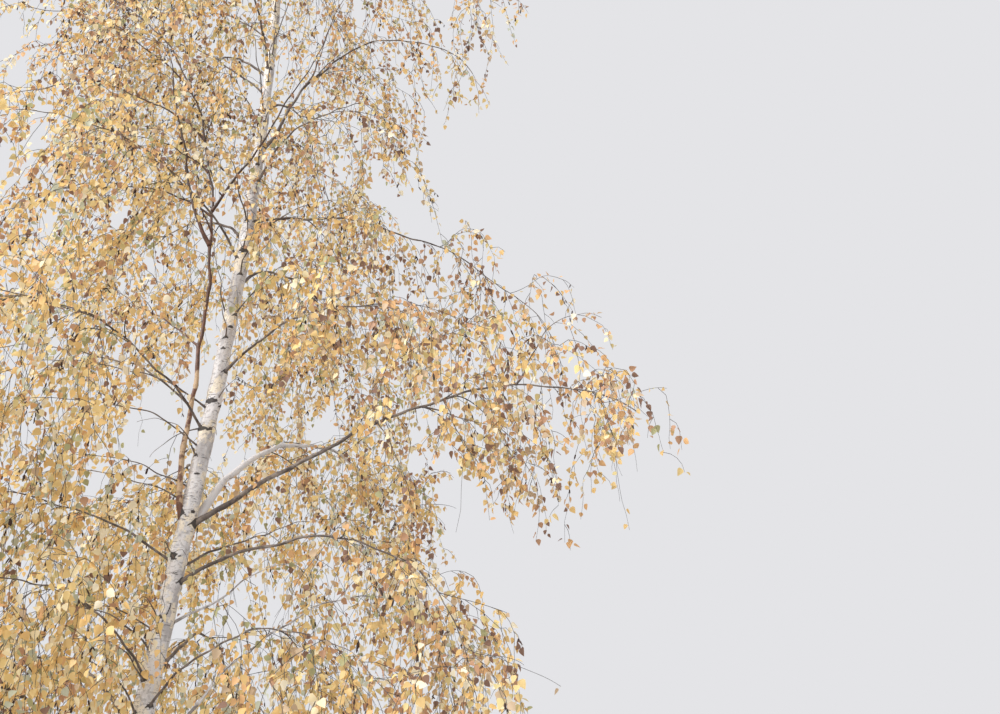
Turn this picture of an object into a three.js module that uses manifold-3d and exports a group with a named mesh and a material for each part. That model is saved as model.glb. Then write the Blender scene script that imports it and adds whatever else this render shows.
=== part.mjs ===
// A white birch in autumn leaf, about 12 m tall: a whole trunk, a second stem, boughs and
// hanging masses of foliage. Millimetres and degrees, +Z up. The origin is the middle of the
// flat cut under the trunk, +X is the side of the longest low bough, and +Y is the far side.
import * as THREE from "three";
import { mergeVertices } from "three/addons/utils/BufferGeometryUtils.js";
import Module from "manifold-3d";

const wasm = await Module();
wasm.setup();

// Trunk
const HEIGHT = 11800;
const TRUNK_WIDTH = 138; // above the root flare
const TRUNK_TAPER = 0.62; // power of the distance left to the tip
const TIP_WIDTH = 10;
const FLARE_WIDTH = 130; // added at the ground
const FLARE_HEIGHT = 230; // over which the flare dies away
const FLARE_LOBES = 5;
const FLARE_LOBE_DEPTH = 0.16; // part of the flare
const SWEEP = 360; // sideways, towards +X
const SWEEP_TOP = 7000; // height at which the sweep ends
const SWEEP_BELLY = 28; // further sideways, half way up the sweep
const SWEEP_BACK = 100; // from there to the tip
const BOW = 70; // towards +Y, half way up
const TRUNK_SIDES = 10;
const TRUNK_STEPS = 18;
const TRUNK_CROWDING = 1.35; // over 1 brings the trunk's rings closer together at its foot

// Limbs
const GAP = 0.3; // left between two pieces that touch
const LIMB_SIDES = 5;
const LIMB_STEP = 350;
const LIMB_TIP = 0.22; // part of the width left at the far end
const LIMB_TAPER = 1.7; // over 1: most of the width is lost near the foot
const COLLAR = 0.45; // widening at the foot, part of the width
const COLLAR_LENGTH = 70;
const PATH_STEPS = 60;
const FORK_ANGLE = 50; // at which a steep limb leaves the trunk
const FORK_LENGTH = 160; // over which it turns up

// Foliage
const MASS_DETAIL = 3; // each side of the octahedron that a mass grows from is cut in four
const LUMP = 0.13; // unevenness, part of a mass's size
const LUMP_WAVES = { along: 3.1, across: 2.8, up: 3.7, skew: 2.1 }; // radians over half a mass
const LUMP_SHIFTS = { along: 1.7, across: 2.3 }; // radians from one mass to the next
const UP_LUMP = 0.6; // size of the level lumps beside that of the upright ones
const SKIRT = 0.2; // narrowing of a mass towards its foot
const SLOPE = 0.6; // part of a limb's own slope that its mass takes
const TOP_MASS = { height: 10350, along: 1110, across: 1050, crest: 1480, hang: 1350, bearing: 30 };
const TOP_SEED = 0.4;

// A limb leaves its parent's axis at a height, towards a bearing (0 is +X, 90 is +Y). It climbs
// at the angle rise and ends at the angle fall; a bend over 1 keeps the change for the far end,
// under 1 for the near end, and swing turns its bearing on the way. bare is the part of its
// length outside the foliage, which reaches past the limb's end and is across, crest and hang
// wide, high and deep.
const SECOND_STEM = {
  name: "second_stem", height: 3480, bearing: 225, length: 5300, rise: 92, fall: 35, bend: 2.5,
  swing: -60, width: 43, bare: 0.62, mass: { across: 950, crest: 950, hang: 1500, reach: 550 },
};

const LIMBS = [
  SECOND_STEM,
  // Low ring
  { name: "low_right", height: 3080, bearing: -6, length: 2450, rise: 28, fall: -78, bend: 1.5,
    swing: -8, width: 30, bare: 0.44, mass: { across: 850, crest: 460, hang: 1050, reach: 480 } },
  { name: "low_back_right", height: 1780, bearing: 28, length: 2900, rise: 64, fall: -22, bend: 1.6,
    swing: 8, width: 30, bare: 0.5, mass: { across: 950, crest: 560, hang: 1350, reach: 480 } },
  { name: "low_back", height: 2350, bearing: 88, length: 2650, rise: 50, fall: -48, bend: 1.1,
    swing: 6, width: 34, bare: 0.36, mass: { across: 1150, crest: 620, hang: 1350, reach: 480 } },
  { name: "low_left_back", height: 2050, bearing: 146, length: 2750, rise: 52, fall: -44, bend: 1.1,
    swing: -5, width: 32, bare: 0.36, mass: { across: 1150, crest: 700, hang: 1200, reach: 520 } },
  { name: "low_left", height: 1740, bearing: 205, length: 2900, rise: 54, fall: -36, bend: 1.1,
    swing: -6, width: 30, bare: 0.36, mass: { across: 1050, crest: 720, hang: 1250, reach: 520 } },
  { name: "low_front_left", height: 2420, bearing: 247, length: 2400, rise: 48, fall: -50, bend: 1,
    swing: 4, width: 18, bare: 0.36, mass: { across: 860, crest: 540, hang: 1200, reach: 420 } },
  { name: "low_front_right", height: 2250, bearing: 324, length: 2450, rise: 46, fall: -54, bend: 1,
    swing: 6, width: 18, bare: 0.46, mass: { across: 820, crest: 480, hang: 950, reach: 400 } },
  // Middle ring
  { name: "right_long", height: 3480, bearing: -3, length: 3480, rise: 32, fall: -36, bend: 2.8,
    swing: 2, width: 42, bare: 0.5, mass: { across: 880, crest: 700, hang: 800, reach: 400 } },
  { name: "back_right", height: 3450, bearing: 60, length: 3300, rise: 70, fall: -40, bend: 1,
    swing: 6, width: 64, bare: 0.38, mass: { across: 1080, crest: 800, hang: 1150, reach: 420 } },
  { name: "back_left", height: 3650, bearing: 110, length: 2950, rise: 50, fall: -46, bend: 1,
    swing: 8, width: 36, bare: 0.36, mass: { across: 1080, crest: 620, hang: 1150, reach: 440 } },
  { name: "left", height: 3220, bearing: 188, length: 3000, rise: 80, fall: -14, bend: 0.32,
    swing: -14, width: 18, bare: 0.24, mass: { across: 1120, crest: 560, hang: 1250, reach: 460 } },
  { name: "front_left", height: 4150, bearing: 234, length: 2550, rise: 50, fall: -50, bend: 1,
    swing: 6, width: 20, bare: 0.32, mass: { across: 950, crest: 620, hang: 1500, reach: 420 } },
  { name: "front_right", height: 4620, bearing: 334, length: 2300, rise: 46, fall: -56, bend: 1,
    swing: 6, width: 22, bare: 0.36, mass: { across: 820, crest: 480, hang: 900, reach: 340 } },
  // Upper ring
  { name: "right_arching", height: 6000, bearing: 10, length: 2650, rise: 27, fall: -50, bend: 0.75,
    swing: -8, width: 25, bare: 0.18, mass: { across: 860, crest: 420, hang: 950, reach: 260 } },
  { name: "upper_back", height: 5400, bearing: 76, length: 2650, rise: 54, fall: -50, bend: 1,
    swing: -4, width: 28, bare: 0.26, mass: { across: 1050, crest: 700, hang: 1200, reach: 400 } },
  { name: "upper_left_back", height: 5800, bearing: 138, length: 2600, rise: 54, fall: -46, bend: 1,
    swing: 6, width: 26, bare: 0.26, mass: { across: 1050, crest: 700, hang: 1150, reach: 420 } },
  { name: "upper_front_left", height: 5600, bearing: 226, length: 2450, rise: 58, fall: -50, bend: 1,
    swing: 6, width: 20, bare: 0.26, mass: { across: 980, crest: 640, hang: 1250, reach: 380 } },
  { name: "upper_front_right", height: 6350, bearing: 322, length: 1750, rise: 56, fall: -56, bend: 1,
    swing: 8, width: 20, bare: 0.26, mass: { across: 680, crest: 480, hang: 1000, reach: 150 } },
  // High ring
  { name: "high_right", height: 6700, bearing: 5, length: 2650, rise: 76, fall: -66, bend: 2,
    swing: 0, width: 30, bare: 0.36, mass: { across: 800, crest: 540, hang: 1150, reach: 60 } },
  { name: "high_back", height: 7100, bearing: 82, length: 2700, rise: 64, fall: -45, bend: 1,
    swing: 10, width: 26, bare: 0.26, mass: { across: 1000, crest: 700, hang: 1250, reach: 340 } },
  { name: "high_left_back", height: 7500, bearing: 146, length: 2400, rise: 64, fall: -45, bend: 1,
    swing: 6, width: 24, bare: 0.26, mass: { across: 900, crest: 620, hang: 1150, reach: 340 } },
  { name: "high_front", height: 7550, bearing: 262, length: 2400, rise: 62, fall: -48, bend: 1,
    swing: -4, width: 22, bare: 0.26, mass: { across: 900, crest: 620, hang: 1200, reach: 340 } },
  // Crest ring
  { name: "crest_right", height: 8450, bearing: 350, length: 2500, rise: 68, fall: -52, bend: 1.1,
    swing: 12, width: 22, bare: 0.22, mass: { across: 860, crest: 640, hang: 1100, reach: 300 } },
  { name: "crest_back", height: 8700, bearing: 72, length: 2200, rise: 68, fall: -48, bend: 1,
    swing: 12, width: 20, bare: 0.22, mass: { across: 850, crest: 640, hang: 1000, reach: 280 } },
  { name: "crest_left", height: 8850, bearing: 168, length: 2200, rise: 68, fall: -46, bend: 1,
    swing: 10, width: 20, bare: 0.22, mass: { across: 850, crest: 640, hang: 1000, reach: 280 } },
  { name: "crest_front", height: 8950, bearing: 258, length: 2050, rise: 68, fall: -48, bend: 1,
    swing: 10, width: 18, bare: 0.22, mass: { across: 820, crest: 600, hang: 1000, reach: 260 } },
  // A side bough that the second stem bears
  { name: "left_upper", on: SECOND_STEM, height: 4360, bearing: 182, length: 2400, rise: 66, fall: -24,
    bend: 0.5, swing: 8, width: 16, bare: 0.36,
    mass: { across: 980, crest: 560, hang: 750, reach: 440 } },
];

// Colours of bark and leaves
const BARK_WHITE = 0xcfc8c0;
const BARK_BROWN = 0x6e4e3a;
const BARK_DARK = 0x4b4340;
const LEAF_GOLD = 0xd9a441;

const DEG = Math.PI / 180;

function smooth(t) {
  const c = THREE.MathUtils.clamp(t, 0, 1);
  return c * c * (3 - 2 * c);
}

// The trunk's axis at a height
function trunkAxis(z) {
  const climbed = Math.min(1, z / SWEEP_TOP);
  const back = SWEEP_BACK * smooth((z - SWEEP_TOP) / (HEIGHT - SWEEP_TOP));
  const out = SWEEP * smooth(climbed) + SWEEP_BELLY * Math.sin(Math.PI * climbed) - back;
  const bow = BOW * Math.sin(Math.PI * z / HEIGHT);
  return new THREE.Vector3(out, bow, z);
}

function trunkRadius(z, angle) {
  const left = Math.max(0, 1 - z / HEIGHT);
  const flare = FLARE_WIDTH * Math.exp(-z / FLARE_HEIGHT);
  const lobes = 1 + FLARE_LOBE_DEPTH * Math.cos(FLARE_LOBES * angle);
  return (TRUNK_WIDTH * left ** TRUNK_TAPER + flare * lobes + TIP_WIDTH) / 2;
}

// A cylinder bent along an axis, fattened and lengthened by grow. place(s) gives the point, the
// way on and a level side way there.
function tube(place, radius, sides, steps, grow) {
  const merged = positionsOnly(new THREE.CylinderGeometry(1, 1, 1, sides, steps));
  const position = merged.attributes.position;
  const corner = new THREE.Vector3();
  for (let i = 0; i < position.count; i += 1) {
    corner.fromBufferAttribute(position, i);
    const s = corner.y + 0.5;
    const { point, along, side } = place(s);
    const across = new THREE.Vector3().crossVectors(side, along);
    const angle = Math.atan2(corner.z, corner.x);
    const size = Math.hypot(corner.x, corner.z) > 0.5 ? radius(s, angle) + grow : 0;
    const moved = point.clone().addScaledVector(along, s === 1 ? grow : 0);
    moved.addScaledVector(side, size * Math.cos(angle));
    moved.addScaledVector(across, size * Math.sin(angle));
    position.setXYZ(i, moved.x, moved.y, moved.z);
  }
  return merged;
}

// The trunk's rings are level, and closer together in the flare
function trunkGeometry(grow) {
  const level = (s) => HEIGHT * s ** TRUNK_CROWDING;
  const place = (s) => ({
    point: trunkAxis(level(s)),
    along: new THREE.Vector3(0, 0, 1),
    side: new THREE.Vector3(1, 0, 0),
  });
  return tube(place, (s, angle) => trunkRadius(level(s), angle), TRUNK_SIDES, TRUNK_STEPS, grow);
}

// A limb's points, a step apart, found by walking on from its parent's axis
function limbPath(limb) {
  const start = limb.on ? pointAtHeight(limbPath(limb.on), limb.height) : trunkAxis(limb.height);
  const points = [start];
  const step = limb.length / PATH_STEPS;
  for (let i = 0; i < PATH_STEPS; i += 1) {
    const s = (i + 0.5) / PATH_STEPS;
    const last = points[points.length - 1];
    points.push(last.clone().addScaledVector(limbWay(limb, s), step));
  }
  return points;
}

function limbWay(limb, s) {
  const arc = limb.rise + (limb.fall - limb.rise) * s ** limb.bend;
  const fork = Math.min(0, FORK_ANGLE - limb.rise) * Math.exp(-s * limb.length / FORK_LENGTH);
  const climb = (arc + fork) * DEG;
  const bearing = (limb.bearing + limb.swing * s) * DEG;
  return new THREE.Vector3(
    Math.cos(bearing) * Math.cos(climb), Math.sin(bearing) * Math.cos(climb), Math.sin(climb));
}

function pointAtHeight(points, height) {
  const next = points.findIndex((point) => point.z >= height);
  const part = (height - points[next - 1].z) / (points[next].z - points[next - 1].z);
  return points[next - 1].clone().lerp(points[next], part);
}

function pointOn(points, s) {
  const at = THREE.MathUtils.clamp(s, 0, 1) * PATH_STEPS;
  const low = Math.min(PATH_STEPS - 1, Math.floor(at));
  return points[low].clone().lerp(points[low + 1], at - low);
}

// The bare part of a limb, as far as the foliage
function limbGeometry(limb, grow) {
  const points = limbPath(limb);
  const place = (s) => {
    const bearing = (limb.bearing + limb.swing * s * limb.bare) * DEG;
    return {
      point: pointOn(points, s * limb.bare),
      along: limbWay(limb, s * limb.bare),
      side: new THREE.Vector3(-Math.sin(bearing), Math.cos(bearing), 0),
    };
  };
  const radius = (s) => {
    const run = s * limb.bare * limb.length;
    const collar = 1 + COLLAR * Math.exp(-run / COLLAR_LENGTH);
    const taper = LIMB_TIP + (1 - LIMB_TIP) * (1 - s * limb.bare) ** LIMB_TAPER;
    return limb.width / 2 * taper * collar;
  };
  const steps = Math.ceil(limb.bare * limb.length / LIMB_STEP);
  return tube(place, radius, LIMB_SIDES, steps, grow);
}

// An uneven ball of foliage: along, across, crest and hang are its half sizes, and it slopes
// along its bearing. seed gives each mass lumps of its own.
function massGeometry({ centre, bearing, along, across, crest, hang, slope, seed }, grow) {
  const merged = positionsOnly(new THREE.OctahedronGeometry(1, MASS_DETAIL));
  const position = merged.attributes.position;
  const way = new THREE.Vector3();
  const forward = new THREE.Vector3(Math.cos(bearing), Math.sin(bearing), 0);
  const side = new THREE.Vector3(-forward.y, forward.x, 0);
  for (let i = 0; i < position.count; i += 1) {
    way.fromBufferAttribute(position, i).normalize();
    const size = 1 + LUMP * lumpsAt(way, seed);
    const skirt = 1 - SKIRT * Math.max(0, -way.z) ** 2;
    const depth = way.z > 0 ? crest : hang;
    const f = way.x * along * size * skirt;
    const w = way.y * across * size * skirt;
    const out = new THREE.Vector3(way.x / along, way.y / across, way.z / depth).normalize();
    const corner = centre.clone();
    corner.addScaledVector(forward, f + out.x * grow);
    corner.addScaledVector(side, w + out.y * grow);
    corner.z += way.z * depth * size + slope * f + out.z * grow;
    position.setXYZ(i, corner.x, corner.y, corner.z);
  }
  return merged;
}

function lumpsAt(way, seed) {
  const upright = Math.sin(LUMP_WAVES.along * way.x + LUMP_SHIFTS.along * seed)
    * Math.sin(LUMP_WAVES.across * way.y + LUMP_SHIFTS.across * seed);
  const level = Math.sin(LUMP_WAVES.up * way.z + LUMP_WAVES.skew * way.x + seed);
  return upright + UP_LUMP * level;
}

function positionsOnly(geometry) {
  geometry.deleteAttribute("uv");
  geometry.deleteAttribute("normal");
  return mergeVertices(geometry, 1e-5);
}

// The mass round a limb's leafy part, from where it stops being bare to past its end
function massOf(limb, seed) {
  const points = limbPath(limb);
  const near = pointOn(points, limb.bare);
  const far = pointOn(points, 1);
  const run = Math.hypot(far.x - near.x, far.y - near.y);
  const { across, crest, hang, reach } = limb.mass;
  return {
    centre: near.clone().lerp(far, 0.5).addScaledVector(limbWay(limb, 0.5).setZ(0), reach / 2),
    bearing: Math.atan2(far.y - near.y, far.x - near.x),
    along: run / 2 + reach,
    across, crest, hang, seed,
    slope: SLOPE * (far.z - near.z) / Math.max(run, across),
  };
}

function topMass() {
  const { height, along, across, crest, hang, bearing } = TOP_MASS;
  return {
    centre: trunkAxis(height), bearing: bearing * DEG, along, across, crest, hang,
    slope: 0, seed: TOP_SEED,
  };
}

function solidOf(geometry) {
  const mesh = new wasm.Mesh({
    numProp: 3,
    vertProperties: Float32Array.from(geometry.attributes.position.array),
    triVerts: Uint32Array.from(geometry.index.array),
  });
  return new wasm.Manifold(mesh);
}

function geometryOf(solid) {
  const mesh = solid.getMesh();
  const geometry = new THREE.BufferGeometry();
  geometry.setAttribute("position", new THREE.BufferAttribute(Float32Array.from(mesh.vertProperties), 3));
  geometry.setIndex(new THREE.BufferAttribute(Uint32Array.from(mesh.triVerts), 1));
  return geometry;
}

function near(a, b) {
  const p = a.boundingBox();
  const q = b.boundingBox();
  return [0, 1, 2].every((k) => p.min[k] < q.max[k] && q.min[k] < p.max[k]);
}

// The solid without the others, each of which is given fattened by the gap
function clearOf(solid, others) {
  return others.filter((other) => near(solid, other)).reduce((left, other) => left.subtract(other), solid);
}

function meshOf(name, solid, color, roughness) {
  const material = new THREE.MeshStandardMaterial({ color, roughness, metalness: 0, flatShading: true });
  const mesh = new THREE.Mesh(geometryOf(solid), material);
  mesh.name = name;
  return mesh;
}

const tree = new THREE.Group();
const trunk = solidOf(trunkGeometry(0));
tree.add(meshOf("trunk", trunk, BARK_WHITE, 0.75));

// Limbs meet the trunk, or the stem that bears them, and end in the foliage
const wood = [solidOf(trunkGeometry(GAP))];
for (const limb of LIMBS) {
  const solid = clearOf(solidOf(limbGeometry(limb, 0)), wood);
  const brown = limb === SECOND_STEM ? BARK_BROWN : BARK_DARK;
  tree.add(meshOf(limb === SECOND_STEM ? limb.name : `bough_${limb.name}`, solid, brown, 0.8));
  wood.push(solidOf(limbGeometry(limb, GAP)));
}

// Masses are cut round the wood, and each round the masses before it
const leafy = [];
const masses = [["top", topMass()], ...LIMBS.map((limb, i) => [limb.name, massOf(limb, i + 1)])];
for (const [name, shape] of masses) {
  const solid = clearOf(solidOf(massGeometry(shape, 0)), [...wood, ...leafy]);
  tree.add(meshOf(`foliage_${name}`, solid, LEAF_GOLD, 0.6));
  leafy.push(solidOf(massGeometry(shape, GAP)));
}

export default tree;
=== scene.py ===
import functools
import math
from collections import namedtuple

import bpy
import numpy as np
from bpy.props import FloatProperty, FloatVectorProperty, IntProperty, PointerProperty
from bpy.types import Operator, Panel, PropertyGroup
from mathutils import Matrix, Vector
from mathutils.bvhtree import BVHTree


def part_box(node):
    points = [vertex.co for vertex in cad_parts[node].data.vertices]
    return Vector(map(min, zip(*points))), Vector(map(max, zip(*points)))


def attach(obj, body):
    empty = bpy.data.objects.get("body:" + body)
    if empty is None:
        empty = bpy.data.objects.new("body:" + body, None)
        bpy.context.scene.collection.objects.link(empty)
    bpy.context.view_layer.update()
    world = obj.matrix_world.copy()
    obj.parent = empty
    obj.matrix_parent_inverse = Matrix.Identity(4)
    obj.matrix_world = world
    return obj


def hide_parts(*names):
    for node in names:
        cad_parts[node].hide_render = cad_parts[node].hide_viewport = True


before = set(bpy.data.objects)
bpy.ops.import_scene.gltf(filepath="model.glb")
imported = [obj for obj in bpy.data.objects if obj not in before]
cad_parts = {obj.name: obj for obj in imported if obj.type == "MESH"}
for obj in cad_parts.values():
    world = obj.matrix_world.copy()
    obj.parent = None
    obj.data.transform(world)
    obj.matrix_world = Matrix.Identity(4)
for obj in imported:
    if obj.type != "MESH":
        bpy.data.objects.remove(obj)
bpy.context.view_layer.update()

bl_info = {
    "name": "Weeping white birch",
    "version": (1, 0, 0),
    "blender": (4, 5, 0),
    "location": "View3D > Sidebar > Birch",
    "description": "A white birch in autumn leaf, with its boughs, hanging twigs and catkins",
    "category": "Add Mesh",
}

# Metres and degrees throughout. A bearing of 0 is +X and one of 90 is +Y.
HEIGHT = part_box("trunk")[1].z
UP = np.array([0.0, 0.0, 1.0])
TINY = 1e-6  # keeps a direction from having no length

# The trunk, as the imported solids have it
TRUNK_WIDTH = 0.138
TRUNK_TAPER = 0.62
TIP_WIDTH = 0.01
FLARE_WIDTH = 0.13
FLARE_HEIGHT = 0.23
FLARE_LOBES = 5
FLARE_LOBE_DEPTH = 0.16
SWEEP = 0.36
SWEEP_TOP = 7.0
SWEEP_BELLY = 0.028
SWEEP_BACK = 0.1
BOW = 0.07

# The limbs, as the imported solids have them
LIMB_TIP = 0.22
LIMB_TAPER = 1.7
COLLAR = 0.45
COLLAR_LENGTH = 0.07
PATH_STEPS = 60
WANDER_WAVES = (0.85, 0.4, 0.22)  # metres between the bends of a limb
WANDER = 0.012  # size of a bend, part of its wave
WANDER_START = 0.2  # part of the limb's length over which the bends set in
FORK_ANGLE = 50
FORK_LENGTH = 0.16
STEEP = 0.9  # upward part of a direction that is too near upright to take its sides from UP

# A limb leaves its parent's axis at a height, towards a bearing. It climbs at the angle rise and
# ends at the angle fall; bend says whether that changes late (over 1) or early, and swing turns
# its bearing on the way. bare is the part of it outside the foliage.
Limb = namedtuple("Limb", "level name height bearing length rise fall bend swing width bare on at",
                  defaults=(None, None))
LEVELS = ("low", "middle", "upper", "high", "crest")
STEM = Limb("upper", "second_stem", 3.48, 225, 5.3, 92, 35, 2.5, -60, 0.043, 0.62)
BOUGHS = (
    Limb("low", "low_right", 3.08, -6, 2.45, 28, -78, 1.5, -8, 0.03, 0.44),
    Limb("low", "low_back_right", 1.78, 28, 2.9, 64, -22, 1.6, 8, 0.03, 0.5),
    Limb("low", "low_back", 2.35, 88, 2.65, 50, -48, 1.1, 6, 0.034, 0.36),
    Limb("low", "low_left_back", 2.05, 146, 2.75, 52, -44, 1.1, -5, 0.032, 0.36),
    Limb("low", "low_left", 1.74, 205, 2.9, 54, -36, 1.1, -6, 0.03, 0.36),
    Limb("low", "low_front_left", 2.42, 247, 2.4, 48, -50, 1, 4, 0.018, 0.36),
    Limb("low", "low_front_right", 2.25, 324, 2.45, 46, -54, 1, 6, 0.018, 0.46),
    Limb("middle", "right_long", 3.48, -3, 3.48, 32, -36, 2.8, 2, 0.042, 0.5),
    Limb("middle", "back_right", 3.45, 60, 3.3, 70, -40, 1, 6, 0.064, 0.38),
    Limb("middle", "back_left", 3.65, 110, 2.95, 50, -46, 1, 8, 0.036, 0.36),
    Limb("middle", "left", 3.22, 188, 3.0, 80, -14, 0.32, -14, 0.018, 0.24),
    Limb("middle", "front_left", 4.15, 234, 2.55, 50, -50, 1, 6, 0.02, 0.32),
    Limb("middle", "front_right", 4.62, 334, 2.3, 46, -56, 1, 6, 0.022, 0.36),
    Limb("middle", "left_upper", 4.36, 182, 2.4, 66, -24, 0.5, 8, 0.016, 0.36, on="second_stem"),
    Limb("upper", "right_arching", 6.0, 10, 2.65, 27, -50, 0.75, -8, 0.025, 0.18),
    Limb("upper", "upper_back", 5.4, 76, 2.65, 54, -50, 1, -4, 0.028, 0.26),
    Limb("upper", "upper_left_back", 5.8, 138, 2.6, 54, -46, 1, 6, 0.026, 0.26),
    Limb("upper", "upper_front_left", 5.6, 226, 2.45, 58, -50, 1, 6, 0.02, 0.26),
    Limb("upper", "upper_front_right", 6.35, 322, 1.75, 56, -56, 1, 8, 0.02, 0.26),
    Limb("high", "high_right", 6.7, 5, 2.65, 76, -66, 2, 0, 0.03, 0.36),
    Limb("high", "high_back", 7.1, 82, 2.7, 64, -45, 1, 10, 0.026, 0.26),
    Limb("high", "high_left_back", 7.5, 146, 2.4, 64, -45, 1, 6, 0.024, 0.26),
    Limb("high", "high_front", 7.55, 262, 2.4, 62, -48, 1, -4, 0.022, 0.26),
    Limb("crest", "crest_right", 8.45, 350, 2.5, 68, -52, 1.1, 12, 0.022, 0.22),
    Limb("crest", "crest_back", 8.7, 72, 2.2, 68, -48, 1, 12, 0.02, 0.22),
    Limb("crest", "crest_left", 8.85, 168, 2.2, 68, -46, 1, 10, 0.02, 0.22),
    Limb("crest", "crest_front", 8.95, 258, 2.05, 68, -48, 1, 10, 0.018, 0.22),
)
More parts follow.
